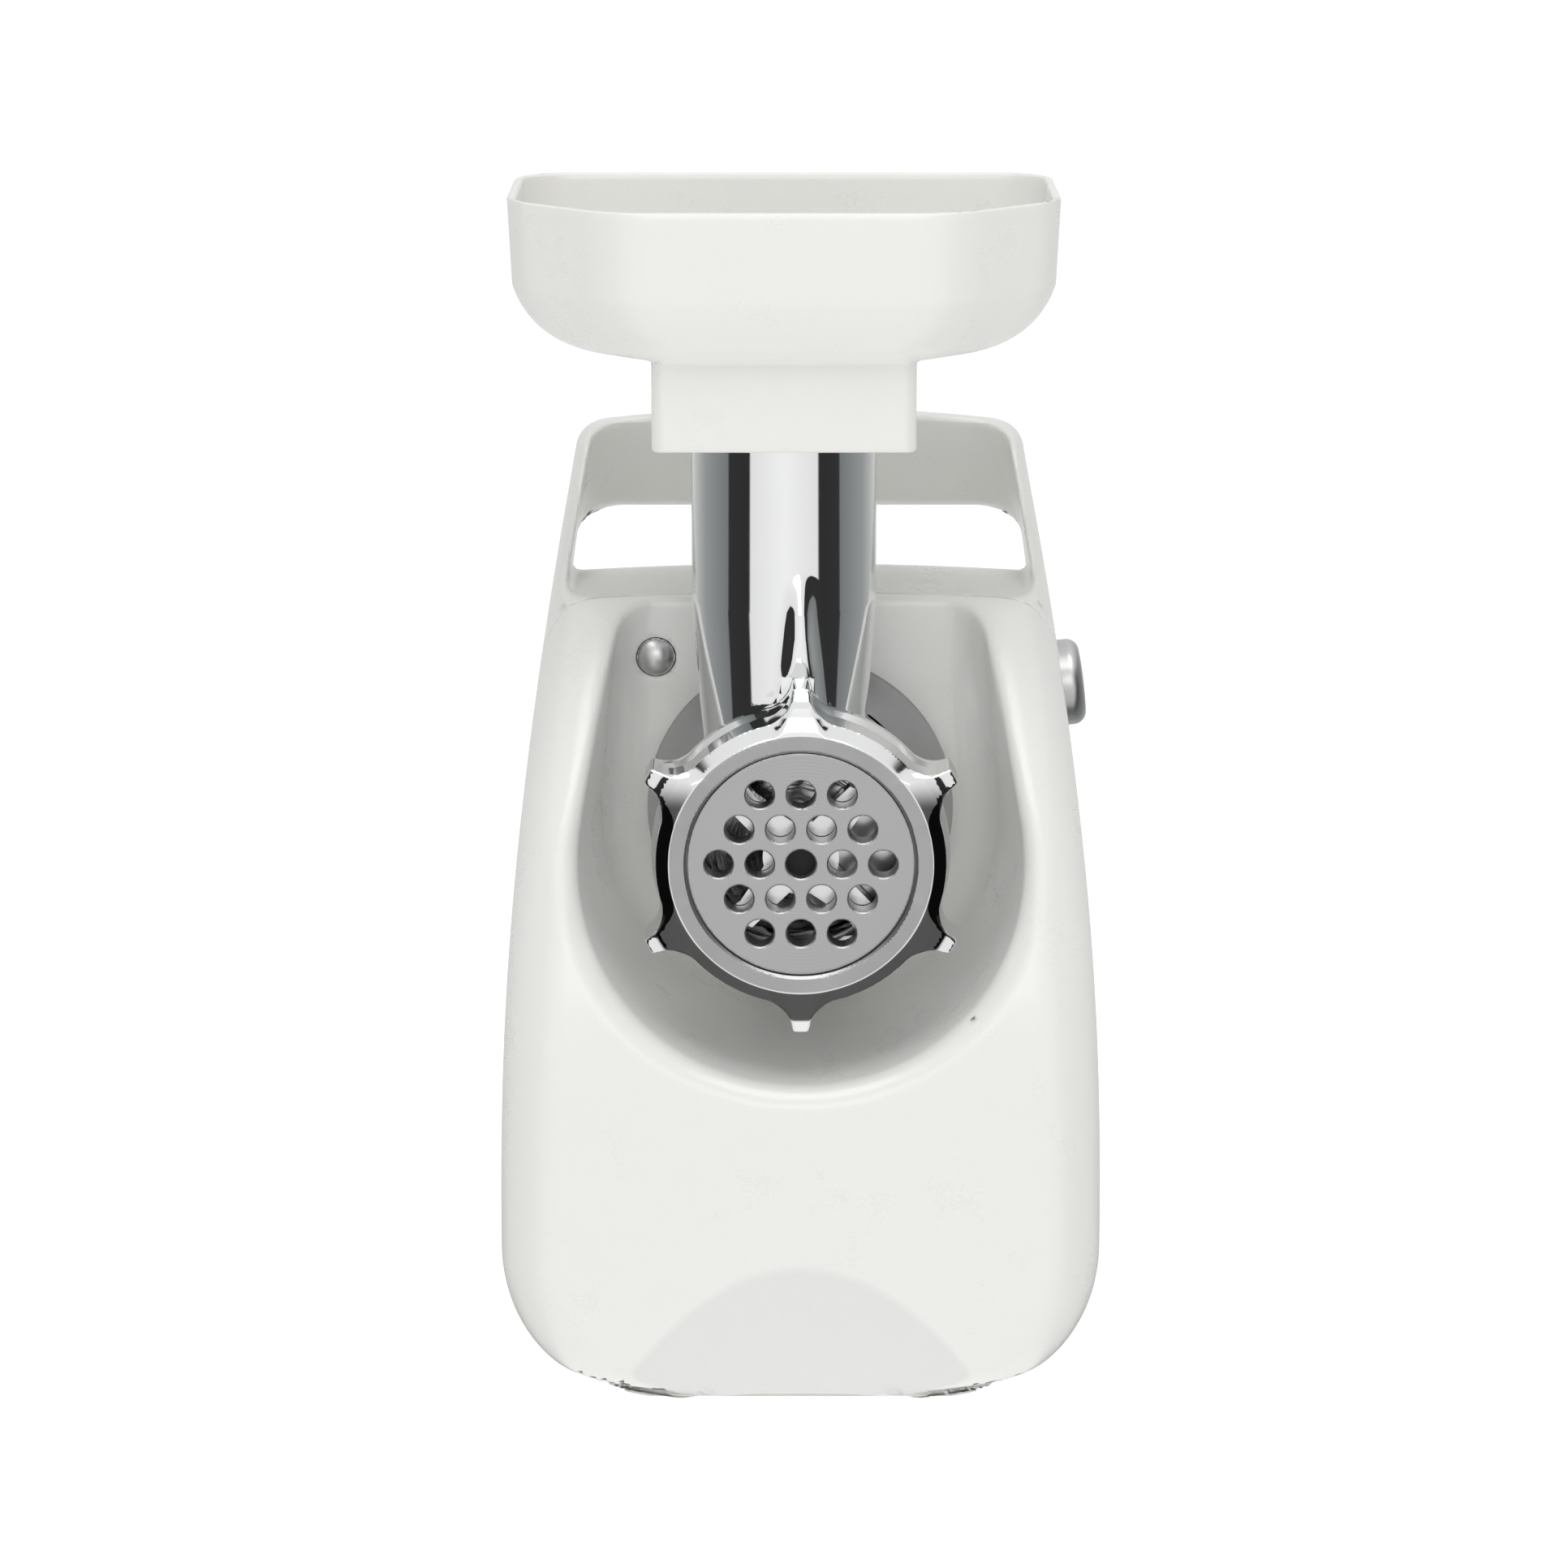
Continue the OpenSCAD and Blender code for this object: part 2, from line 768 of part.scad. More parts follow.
module drive_bushing() {
    color([0.72, 0.55, 0.3])
        difference() {
            along_y(cover_y - 1)
                cylinder(r = cover_boss_r - 2.02, h = cover_t + 1.8);
            along_y(cover_y - 4)
                cylinder(r = output_r + shaft_fit, h = cover_t + 10);
        }
}

// Output shaft: a round journal with a square nose that turns the auger
square_half = 4.5;
shaft_nose_y = wall_y - 8;
module output_shaft() {
    color("silver")
        difference() {
            union() {
                along_y(cover_y - 1.5)
                    cylinder(r = output_r, h = case_end_y - cover_y + 2.4);
                translate([-square_half, shaft_nose_y, axis_z - square_half])
                    cube([2 * square_half, cover_y - 1.4 - shaft_nose_y, 2 * square_half]);
            }
            along_y(shaft_nose_y - 1)
                cylinder(r = 1.5, h = 6);
        }
}

// Auger: a round core with one tapering flight, a square nose for the knife and a pin for the plate
auger_r = barrel_bore_d / 2 - 0.7;
auger_core_r = 9;
knife_t = 7;
auger_front_y = nut_face_y + nut_lip + plate_t + knife_t + 0.4;
auger_back_y = barrel_back_y - 4;
auger_pitch = 24;
auger_len = auger_back_y - 5 - auger_front_y;
function flight(a) = auger_core_r + 0.4 + (auger_r - auger_core_r - 0.4) * pow(max(0, cos(a)), 0.75);
module auger() {
    color([0.75, 0.76, 0.77])
        difference() {
            union() {
                along_y(auger_front_y)
                    linear_extrude(auger_len, twist = 360 * auger_len / auger_pitch, slices = 32)
                        polygon([for (i = [0:23]) let (a = i * 15) [flight(a) * cos(a), flight(a) * sin(a)]]);
                along_y(auger_back_y - 5.2)
                    cylinder(r = barrel_bore_d / 2 - 0.8, h = 3);
                along_y(auger_back_y - 3)
                    cylinder(r = 12.5, h = latch_y - auger_back_y + 5);
                translate([-square_half, auger_front_y - knife_t, axis_z - square_half])
                    cube([2 * square_half, knife_t + 1, 2 * square_half]);
                along_y(plate_y + 2.5)
                    cylinder(d = plate_bore_d - 2 * shaft_fit, h = knife_t + plate_t);
            }
            translate([-square_half - 0.1, shaft_nose_y - 2, axis_z - square_half - 0.1])
                cube([2 * square_half + 0.2, 30, 2 * square_half + 0.2]);
        }
}

// Four-winged knife behind the plate
knife_r = plate_d / 2 - 6.5;
module knife() {
    color([0.8, 0.81, 0.82])
        difference() {
            union() {
                along_y(auger_front_y - knife_t + 0.2)
                    cylinder(r = 9.5, h = knife_t - 0.4);
                along_y(auger_front_y - knife_t + 0.2)
                    for (i = [0:3])
                        rotate([0, 0, 90 * i + 43])
                            linear_extrude(knife_t - 1.5)
                                polygon([[0, -4.5], [knife_r - 3, -3.4], [knife_r, 4.6],
                                    [knife_r - 6, 3.4], [6, 5.5]]);
            }
            translate([-square_half - 0.08, auger_front_y - knife_t - 2, axis_z - square_half - 0.08])
                cube([2 * square_half + 0.16, knife_t + 5, 2 * square_half + 0.16]);
        }
}

// Motor
motor_front_y = case_end_y + case_wall + 0.4;
bracket_t = 4;
coil_len = 7;
stator_y = motor_front_y + bracket_t + coil_len + 3.5;
rear_bracket_y = stator_y + core_len + 17.3;
module at_motor(y) {
    translate([0, y, motor_z])
        rotate([-90, 0, 0])
            children();
}

stator_half_h = stator_d / 2 - 4;
module stator_core() {
    color([0.45, 0.46, 0.48])
        difference() {
            intersection() {
                at_motor(stator_y)
                    cylinder(d = stator_d, h = core_len);
                translate([-50, stator_y - 1, motor_z - stator_half_h])
                    cube([100, core_len + 2, 2 * stator_half_h]);
            }
            at_motor(stator_y - 1)
                cylinder(r = armature_d / 2 + 0.6, h = core_len + 2);
            for (s = [-1, 1])
                at_motor(stator_y - 1)
                    rotate([0, 0, 90 * s])
                        linear_extrude(core_len + 2)
                            polygon([[0, -13], [armature_d / 2 + 9, -18], [armature_d / 2 + 9, 18], [0, 13]]);
            for (s = [-1, 1])
                at_motor(stator_y - 1)
                    translate([s * motor_bolt_x, 0, 0])
                        cylinder(r = 2.2, h = core_len + 2);
        }
}

motor_bolt_x = stator_d / 2 - 5;
module field_coils() {
    color([0.72, 0.4, 0.2])
        for (s = [-1, 1])
            at_motor(stator_y - coil_len)
                rotate([0, 0, 90 * s])
                    difference() {
                        linear_extrude(core_len + 2 * coil_len)
                            polygon([[armature_d / 2 + 1.2, -14.5], [armature_d / 2 + 8.5, -16.5],
                                [armature_d / 2 + 8.5, 16.5], [armature_d / 2 + 1.2, 14.5]]);
                        translate([0, 0, -1])
                            cylinder(r = armature_d / 2 + 1.5, h = 200);
                    }
}

module bracket(y) {
    difference() {
        union() {
            translate([-motor_bolt_x - 6, y, motor_z - 11])
                cube([2 * motor_bolt_x + 12, bracket_t, 22]);
            at_motor(y)
                cylinder(r = 15, h = bracket_t);
        }
        at_motor(y - 1)
            cylinder(r = bearing_r + 0.02, h = bracket_t + 2);
        for (s = [-1, 1])
            at_motor(y - 1)
                translate([s * motor_bolt_x, 0, 0])
                    cylinder(r = 2.05, h = bracket_t + 2);
    }
}

bearing_r = 8;
module front_bracket() {
    color([0.7, 0.71, 0.72])
        bracket(motor_front_y);
}

module rear_bracket() {
    color([0.7, 0.71, 0.72])
        bracket(rear_bracket_y);
}

module motor_bearings() {
    color([0.72, 0.55, 0.3])
        for (y = [motor_front_y, rear_bracket_y])
            difference() {
                at_motor(y)
                    cylinder(r = bearing_r, h = bracket_t);
                at_motor(y - 1)
                    cylinder(r = motor_r + shaft_fit, h = bracket_t + 2);
            }
}

module motor_bolts() {
    color("silver")
        for (s = [-1, 1])
            translate([s * motor_bolt_x, 0, 0]) {
                at_motor(motor_front_y)
                    cylinder(r = 2, h = rear_bracket_y + bracket_t + 1 - motor_front_y);
                at_motor(rear_bracket_y + bracket_t)
                    cylinder(r = 3.6, h = 2.5, $fn = 6);
            }
}

commutator_y = stator_y + core_len + 5.5;
commutator_r = 10;
module motor_shaft() {
    color("silver")
        union() {
            at_motor(motor_front_y - 3)
                cylinder(r = motor_r, h = rear_bracket_y + bracket_t + 1 - motor_front_y + 3);
            at_motor(middle_gear_y - 1.5)
                cylinder(r = 2, h = motor_front_y - middle_gear_y);
        }
}

module ring_on_motor(y, h, r, bore) {
    difference() {
        at_motor(y)
            cylinder(r = r, h = h);
        at_motor(y - 1)
            cylinder(r = bore, h = h + 2);
    }
}

module armature_core() {
    color([0.45, 0.46, 0.48])
        difference() {
            ring_on_motor(stator_y, core_len, armature_d / 2, motor_r + 0.02);
            for (i = [0:11])
                at_motor(stator_y - 1)
                    rotate([0, 0, 30 * i])
                        translate([armature_d / 2 - 7, -1.2, 0])
                            cube([10, 2.4, core_len + 2]);
        }
}

module armature_winding() {
    color([0.72, 0.4, 0.2])
        for (y = [stator_y - 4.8, stator_y + core_len + 0.1])
            ring_on_motor(y, 4.7, armature_d / 2 - 2, motor_r + 0.02);
}

module commutator() {
    color([0.8, 0.5, 0.3])
        difference() {
            ring_on_motor(commutator_y, 9, commutator_r, motor_r + 0.02);
            for (i = [0:23])
                at_motor(commutator_y - 1)
                    rotate([0, 0, 15 * i])
                        translate([commutator_r - 0.8, -0.2, 0])
                            cube([2, 0.4, 12]);
        }
}

fan_r = stator_d / 2 - 8;
module cooling_fan() {
    color([0.25, 0.25, 0.25])
        difference() {
            union() {
                at_motor(motor_front_y + bracket_t + 0.5)
                    cylinder(r = fan_r, h = 1.2);
                for (i = [0:8])
                    at_motor(motor_front_y + bracket_t + 1.4)
                        rotate([0, 0, 40 * i])
                            translate([armature_d / 2 - 3, -0.6, 0])
                                cube([fan_r - armature_d / 2 + 2.5, 1.2, 1.2]);
            }
            at_motor(motor_front_y)
                cylinder(r = motor_r + 0.02, h = 20);
        }
}

// Brushes press on the commutator from both sides
brush_half = 2.5;
module brush_holders() {
    color([0.75, 0.62, 0.3])
        for (s = [-1, 1])
            difference() {
                translate([s * (commutator_r + 9.5) - 7, commutator_y + 3.5 - brush_half,
                    motor_z - brush_half - 1])
                    cube([14, 2 * brush_half + 2, 2 * brush_half + 2]);
                translate([s * (commutator_r + 9) - 20, commutator_y + 4.5 - brush_half - 0.02,
                    motor_z - brush_half - 0.02])
                    cube([40, 2 * brush_half + 0.04, 2 * brush_half + 0.04]);
            }
}

module carbon_brushes() {
    color([0.2, 0.2, 0.22])
        for (s = [-1, 1])
            translate([s * (commutator_r + 6.4) - 6, commutator_y + 4.5 - brush_half, motor_z - brush_half])
                cube([12, 2 * brush_half, 2 * brush_half]);
}

// Barrel with its feed tube, cast in one piece
thread_r = nut_d / 2 - 2.6;
plate_y = nut_face_y + nut_lip;
seat_y = plate_y + plate_t;
barrel_front_y = plate_y + 1.5;
thread_len = nut_depth - nut_lip - 1;
tube_r = tube_d / 2;
tube_cy = nut_face_y + tube_y;
tube_foot_r = tube_r - 3;
rib_t = 4;
rib_bulge = 2;
rib_y = nut_face_y + nut_depth + 0.6;
seat_step = seat_y - barrel_front_y;
barrel_len = barrel_back_y - barrel_front_y;
tube_foot_z = 20;
tube_full_z = 60;
module barrel() {
    color([0.8, 0.81, 0.82])
        difference() {
            union() {
                along_y(barrel_front_y)
                    rotate_extrude()
                        polygon([[0, 0], [thread_r, 0], [thread_r, thread_len], [barrel_r, thread_len + 5],
                            [barrel_r, barrel_len], [0, barrel_len]]);
                along_y(lug_y)
                    wedges(lug_angle, lug_r, lug_t, -lug_angle / 2);
                translate([tube_x, tube_cy, axis_z])
                    rotate_extrude()
                        polygon([[0, tube_foot_z], [tube_foot_r, tube_foot_z], [tube_r, tube_full_z],
                            [tube_r, tube_top_z - axis_z], [0, tube_top_z - axis_z]]);
                translate([-rib_t / 2, rib_y, axis_z])
                    rotate([90, 0, 90])
                        linear_extrude(rib_t)
                            polygon([[0, barrel_r - 2], [0, nut_lug_d / 2], [-rib_bulge, nut_lug_d / 2 + 8],
                                [-1, nut_lug_d / 2 + 22], [12, nut_lug_d / 2 + 22], [12, barrel_r - 2]]);
            }
            along_y(barrel_front_y)
                rotate_extrude()
                    polygon([[0, -1], [plate_d / 2 + 0.15, -1], [plate_d / 2 + 0.15, seat_step],
                        [knife_r + 1.2, seat_step], [knife_r + 1.2, seat_step + knife_t + 1],
                        [barrel_bore_d / 2, seat_step + knife_t + 1],
                        [barrel_bore_d / 2, auger_back_y - 1.6 - barrel_front_y],
                        [12.8, auger_back_y - 1.6 - barrel_front_y],
                        [12.8, barrel_len + 5], [0, barrel_len + 5]]);
            translate([tube_x, tube_cy, axis_z])
                rotate_extrude()
                    polygon([[0, 0], [tube_foot_r - tube_wall - 1, 0], [tube_r - tube_wall, tube_full_z],
                        [tube_r - tube_wall, tube_top_z - axis_z + 1], [0, tube_top_z - axis_z + 1]]);
            translate([-key_half - 0.2, barrel_front_y - 1, axis_z - plate_d / 2 - 2])
                cube([2 * key_half + 0.4, seat_step + 1, 4]);
            latch_pocket();
        }
}

key_half = 2;
module grinding_plate() {
    color([0.66, 0.67, 0.68])
        difference() {
            union() {
                along_y(plate_y)
                    cylinder(d = plate_d, h = plate_t);
                along_y(plate_y - 1.8)
                    cylinder(r = nut_opening_d / 2 - 0.3, h = 2);
                translate([-key_half, barrel_front_y + 0.3, axis_z - plate_d / 2 - 1.5])
                    cube([2 * key_half, seat_y - barrel_front_y - 0.3, 4]);
            }
            along_y(plate_y - 3)
                cylinder(d = plate_bore_d, h = plate_t + 6);
            for (row = [-2:2])
                for (i = [0:4 - abs(row)])
                    if (row != 0 || i != 2)
                        along_y(plate_y - 3)
                            translate([(i - (4 - abs(row)) / 2) * plate_pitch,
                                row * plate_pitch * sin(60), 0])
                                cylinder(d = plate_hole_d, h = plate_t + 6);
        }
}

nut_r = nut_d / 2;
nut_bevel = 2.4;
module ring_nut() {
    color([0.62, 0.63, 0.64])
        difference() {
            union() {
                along_y(nut_face_y)
                    cylinder(r1 = nut_r - nut_bevel, r2 = nut_r - 1, h = nut_bevel);
                along_y(nut_face_y + nut_bevel - eps)
                    cylinder(r = nut_r - 1, h = nut_depth - nut_bevel);
                along_y(nut_face_y + nut_depth - 5)
                    cylinder(r = nut_r, h = 5);
                for (i = [0:nut_lugs - 1])
                    along_y(nut_face_y + 1.2)
                        rotate([0, 0, 90 + 360 / nut_lugs * i])
                            linear_extrude(nut_depth - 1.2)
                                polygon([[nut_r - 4, -6], [nut_r - 0.8, -5], [nut_r + 1.6, -2.6],
                                    [nut_lug_d / 2 - 1, -2], [nut_lug_d / 2, -1], [nut_lug_d / 2, 1],
                                    [nut_lug_d / 2 - 1, 2], [nut_r + 1.6, 2.6],
                                    [nut_r - 0.8, 5], [nut_r - 4, 6]]);
            }
            along_y(nut_face_y - 1)
                cylinder(d = nut_opening_d, h = nut_depth + 2);
            along_y(plate_y)
                cylinder(r = plate_d / 2 + 0.3, h = nut_depth);
            along_y(plate_y + 1)
                cylinder(r = thread_r + 0.2, h = nut_depth);
        }
}

// Tray: a bowl with chamfered front corners on a rectangular collar
tray_cy = nut_face_y + tray_d / 2;
collar_cy = tube_cy;
tray_floor_z = tube_top_z + 2.5;
tray_rim_z = tray_floor_z + tray_h;
tray_tuck = 22;
tray_chamfer = 26;
module tray_level(z, tuck, inset) {
    hw = tray_w / 2 - tuck - inset;
    hd = tray_d / 2 - tuck * 0.55 - inset;
    c = tray_chamfer - tuck * 0.35;
    r = 7;
    translate([tube_x, tray_cy, z])
        for (s = [-1, 1]) {
            translate([s * (hw - 2 * r), hd - 2 * r, 0])
                cylinder(r = 2 * r, h = slab_t, $fn = hull_fn);
            translate([s * (hw - r), -hd + c + r, 0])
                cylinder(r = r, h = slab_t, $fn = hull_fn);
            translate([s * (hw - c - r), -hd + r, 0])
                cylinder(r = r, h = slab_t, $fn = hull_fn);
        }
}

module tray_bowl(inset, rise, top) {
    hull() {
        tray_level(tray_rim_z + top, 0, inset);
        for (i = [0:4]) {
            a = 18 * i;
            tray_level(tray_floor_z + rise + (tray_h - rise) * 0.62 * (1 - cos(a)),
                tray_tuck * (1 - sin(a)), inset);
        }
    }
}

module tray_solid_collar() {
    translate([tube_x, collar_cy, tray_floor_z - collar_h])
        linear_extrude(collar_h + 1)
            difference() {
                translate([-collar_w / 2, -collar_d / 2])
                    square([collar_w, collar_d]);
                for (sx = [-1, 1])
                    for (sy = [-1, 1])
                        translate([sx * collar_w / 2, sy * collar_d / 2])
                            difference() {
                                square(7, center = true);
                                translate([-sx * 3.5, -sy * 3.5])
                                    circle(r = 3.5, $fn = 32);
                            }
            }
}

module tray() {
    color([0.94, 0.94, 0.92])
        difference() {
            union() {
                tray_bowl(0, 0, 0);
                tray_solid_collar();
            }
            tray_bowl(tray_wall, tray_wall, 1);
            translate([tube_x, collar_cy, tray_floor_z - collar_h - 1])
                cylinder(r = tube_r + tray_fit, h = collar_h + 1 + tube_top_z + 0.5 - tray_floor_z);
            translate([tube_x, collar_cy, tray_floor_z - collar_h - 1])
                cylinder(r = tube_r - tube_wall + 0.4, h = collar_h + tray_h);
        }
}

// Lock button on a latch bar behind the wall, with a pin that stops at the barrel's back flange
latch_angle = atan2(button_rise, button_x);
latch_reach = norm([button_x, button_rise]);
latch_pin_reach = barrel_r - 2.5;
latch_pin_r = 1.3;
module latch_path(grow, y, h) {
    translate([latch_pin_reach * cos(latch_angle), y, axis_z + latch_pin_reach * sin(latch_angle)])
        rotate([-90, 0, 0])
            cylinder(r = latch_pin_r + grow, h = h);
}

module latch_pocket() {
    latch_path(0.4, barrel_back_y - 1, 3);
}

button_dome_r = button_d / 2 + 1.6;
module lock_button() {
    color([0.7, 0.7, 0.71])
        translate([button_x, wall_y, button_z])
            rotate([-90, 0, 0])
                difference() {
                    union() {
                        translate([0, 0, -1.2])
                            cylinder(d = button_d, h = latch_y - wall_y + 1.15);
                        translate([0, 0, -1.2])
                            intersection() {
                                translate([0, 0, button_dome_r - 2.6])
                                    sphere(r = button_dome_r);
                                translate([0, 0, -4])
                                    cylinder(d = button_d, h = 4 + eps);
                            }
                    }
                    translate([0, 0, 2.5])
                        cylinder(d = button_d - 4, h = 20);
                }
}

module lock_latch() {
    color("silver")
        union() {
            translate([0, latch_y + latch_t, axis_z])
                rotate([90, -latch_angle, 0])
                    translate([latch_pin_reach - 3, -4, 0])
                        cube([latch_reach - latch_pin_reach + 7, 8, latch_t]);
            latch_path(0, barrel_back_y + 0.4, latch_y - barrel_back_y);
        }
}

module button_spring() {
    color("silver")
        translate([button_x, latch_y + latch_t, button_z])
            rotate([-90, 0, 0])
                difference() {
                    cylinder(r = 3.6, h = cover_y + cover_t - 2 - latch_y - latch_t);
                    translate([0, 0, -1])
                        cylinder(r = 2.8, h = 20);
                }
}

// Switch: knob on a spindle that turns in the switch block inside the side wall
spindle_r = 3;
knob_edge = 1.6;
knob_tilt = asin(2 * side_lean * (knob_z - full_w_z) / sq(handle_z - full_w_z));
module knob_place() {
    translate([half_w(knob_z), knob_y, knob_z])
        rotate([0, 90 - knob_tilt, 0])
            children();
}

module switch_knob() {
    color([0.72, 0.72, 0.73])
        knob_place()
            difference() {
                union() {
                    cylinder(d = knob_d, h = knob_h - knob_edge);
                    translate([0, 0, knob_h - knob_edge - eps])
                        cylinder(r1 = knob_d / 2, r2 = knob_d / 2 - knob_edge, h = knob_edge + eps);
                }
                translate([0, 0, -1])
                    cylinder(r = spindle_r + 0.02, h = knob_h - 1);
            }
}

switch_depth = 17;
module knob_spindle() {
    color("silver")
        knob_place()
            translate([0, 0, -shell_wall - 8])
                cylinder(r = spindle_r, h = shell_wall + 8 + knob_h - 2.1);
}

module switch_block() {
    color([0.15, 0.15, 0.16])
        knob_place()
            difference() {
                translate([-12, -12, -shell_wall - 1.5 - switch_depth])
                    cube([24, 24, switch_depth]);
                translate([0, 0, -shell_wall - 9])
                    cylinder(r = spindle_r + shaft_fit, h = 20);
            }
}

module terminal_block() {
    color([0.85, 0.85, 0.8])
        translate([20, back_y - 34, foot_h + 5])
            difference() {
                cube([26, 14, 11]);
                for (i = [0:2])
                    translate([5 + 8 * i, 7, 5])
                        cylinder(r = 2, h = 10);
            }
}

module filter_capacitor() {
    color([0.9, 0.75, 0.3])
        translate([-42, back_y - 36, foot_h + 14])
            cube([24, 16, 12]);
}

front_housing();
rear_housing();
base_plate();
rubber_feet();
base_screws();
housing_screws();
cord_inlet();
socket_ring();
gearbox_cover();
gearbox_case();
gearbox_screws();
drive_bushing();
middle_pin();
stator_core();
field_coils();
front_bracket();
rear_bracket();
motor_bearings();
motor_bolts();
brush_holders();
carbon_brushes();
switch_block();
terminal_block();
filter_capacitor();
output_gear();
output_shaft();
auger();
knife();
middle_gear();
middle_pinion();
motor_shaft();
motor_pinion();
armature_core();
armature_winding();
commutator();
cooling_fan();
barrel();
grinding_plate();
ring_nut();
tray();
lock_button();
lock_latch();
button_spring();
switch_knob();
knob_spindle();
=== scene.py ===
import json
import math

import bpy
import numpy as np
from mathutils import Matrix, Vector


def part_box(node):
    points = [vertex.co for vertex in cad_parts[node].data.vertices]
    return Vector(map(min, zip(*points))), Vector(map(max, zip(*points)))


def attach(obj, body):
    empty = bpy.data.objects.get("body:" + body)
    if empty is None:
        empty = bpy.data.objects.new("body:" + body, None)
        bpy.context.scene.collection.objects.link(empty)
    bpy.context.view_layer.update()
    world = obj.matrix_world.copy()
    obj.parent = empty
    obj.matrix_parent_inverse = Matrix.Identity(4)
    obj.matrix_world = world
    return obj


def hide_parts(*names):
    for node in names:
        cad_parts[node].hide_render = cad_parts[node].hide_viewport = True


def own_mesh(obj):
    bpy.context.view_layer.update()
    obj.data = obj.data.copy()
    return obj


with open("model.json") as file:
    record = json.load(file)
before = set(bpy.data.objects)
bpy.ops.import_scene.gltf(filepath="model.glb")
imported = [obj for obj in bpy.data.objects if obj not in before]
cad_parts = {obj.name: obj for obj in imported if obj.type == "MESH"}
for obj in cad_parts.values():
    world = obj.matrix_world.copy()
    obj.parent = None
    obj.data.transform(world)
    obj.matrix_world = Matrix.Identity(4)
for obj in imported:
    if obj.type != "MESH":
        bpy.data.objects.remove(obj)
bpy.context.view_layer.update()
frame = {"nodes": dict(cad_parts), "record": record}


# Studio: a long white floor that turns up far behind, one large softbox over the grinder and one in
# front, and a room whose walls show in the polished castings as tall light and dark bands.
floor_data = bpy.data.meshes.new("studio_floor")
floor_half_width = 9.0
floor_rise = [(-6.0, 0.0), (14.0, 0.0), (16.0, 6.0)]
floor_data.from_pydata(
    [(side * floor_half_width, y, z) for y, z in floor_rise for side in (-1, 1)],
    [],
    [(2 * i, 2 * i + 1, 2 * i + 3, 2 * i + 2) for i in range(len(floor_rise) - 1)],
)
studio_floor = bpy.data.objects.new("studio_floor", floor_data)
bpy.context.scene.collection.objects.link(studio_floor)


def softbox(name, place, aim, width, height, watts, tint):
    lamp_data = bpy.data.lights.new(name, "AREA")
    lamp_data.shape = "RECTANGLE"
    lamp_data.size = width
    lamp_data.size_y = height
    lamp_data.energy = watts
    lamp_data.color = tint
    lamp = bpy.data.objects.new(name, lamp_data)
    lamp.location = place
    way = Vector(aim) - Vector(place)
    lamp.rotation_euler = way.to_track_quat("-Z", "Y").to_euler()
    bpy.context.scene.collection.objects.link(lamp)
    return lamp


softbox("overhead_softbox", (0.0, -0.55, 1.5), (0.0, 0.0, 0.1), 1.5, 0.9, 9.6, (1.0, 1.0, 1.0))
softbox("front_softbox", (0.0, -2.4, 0.9), (0.0, 0.0, 0.12), 1.3, 1.0, 5.2, (1.0, 0.995, 0.985))


class Wire:
    """A shader socket that can stand in a sum."""

    def __init__(self, tree, socket=None):
        self.tree = tree
        self.socket = socket

    def node(self, kind, settings=None, inputs=None, out=0):
        made = self.tree.nodes.new(kind)
        for key, value in (settings or {}).items():
            if key == "stops":
                ramp = made.color_ramp
                while len(ramp.elements) < len(value):
                    ramp.elements.new(0.5)
                for stop, (place, tone) in zip(ramp.elements, value):
                    stop.position = place
                    stop.color = tone
            else:
                setattr(made, key, value)
        for key, value in (inputs or {}).items():
            if isinstance(value, Wire):
                self.tree.links.new(value.socket, made.inputs[key])
            else:
                made.inputs[key].default_value = value
        return Wire(self.tree, made.outputs[out] if len(made.outputs) else None)

    def math(self, operation, *values):
        return self.node("ShaderNodeMath", {"operation": operation}, dict(enumerate(values)))

    def __add__(self, other):
        return self.math("ADD", self, other)

    __radd__ = __add__

    def __sub__(self, other):
        return self.math("SUBTRACT", self, other)

    def __rsub__(self, other):
        return self.math("SUBTRACT", other, self)

    def __mul__(self, other):
        return self.math("MULTIPLY", self, other)

    __rmul__ = __mul__

    def __truediv__(self, other):
        return self.math("DIVIDE", self, other)

    def __gt__(self, other):
        return self.math("GREATER_THAN", self, other)

    def clip(self, low, high):
        """0 below low, 1 above high and a smooth rise between them."""
        settings = {"interpolation_type": "SMOOTHSTEP"}
        span = {"Value": self, "From Min": low, "From Max": high}
        return self.node("ShaderNodeMapRange", settings, span)

    def split(self):
        parts = self.node("ShaderNodeSeparateXYZ", {}, {0: self})
        return [Wire(self.tree, part) for part in parts.socket.node.outputs]

    def tint(self, low, high):
        settings = {"data_type": "RGBA"}
        return self.node("ShaderNodeMix", settings, {"Factor": self, "A": low, "B": high}, out=2)


# What a polished surface sees round the set, by bearing from the camera's side: the lit front of the
# room, a black card on either hand, and dim walls that brighten towards the back.
card_stops = [
    (0.0, (1.0, 1.0, 0.99, 1)),
    (0.222, (0.86, 0.86, 0.85, 1)),
    (0.232, (0.03, 0.03, 0.03, 1)),
    (0.385, (0.035, 0.035, 0.035, 1)),
    (0.395, (0.2, 0.21, 0.21, 1)),
    (0.62, (0.33, 0.34, 0.34, 1)),
    (0.97, (0.85, 0.85, 0.84, 1)),
]


def cards_round(start, place):
    x, y, _ = place.split()
    bearing = start.math("ARCTAN2", start.math("ABSOLUTE", x), 0.0 - y)
    return start.node("ShaderNodeValToRGB", {"stops": card_stops}, {0: bearing / math.pi})


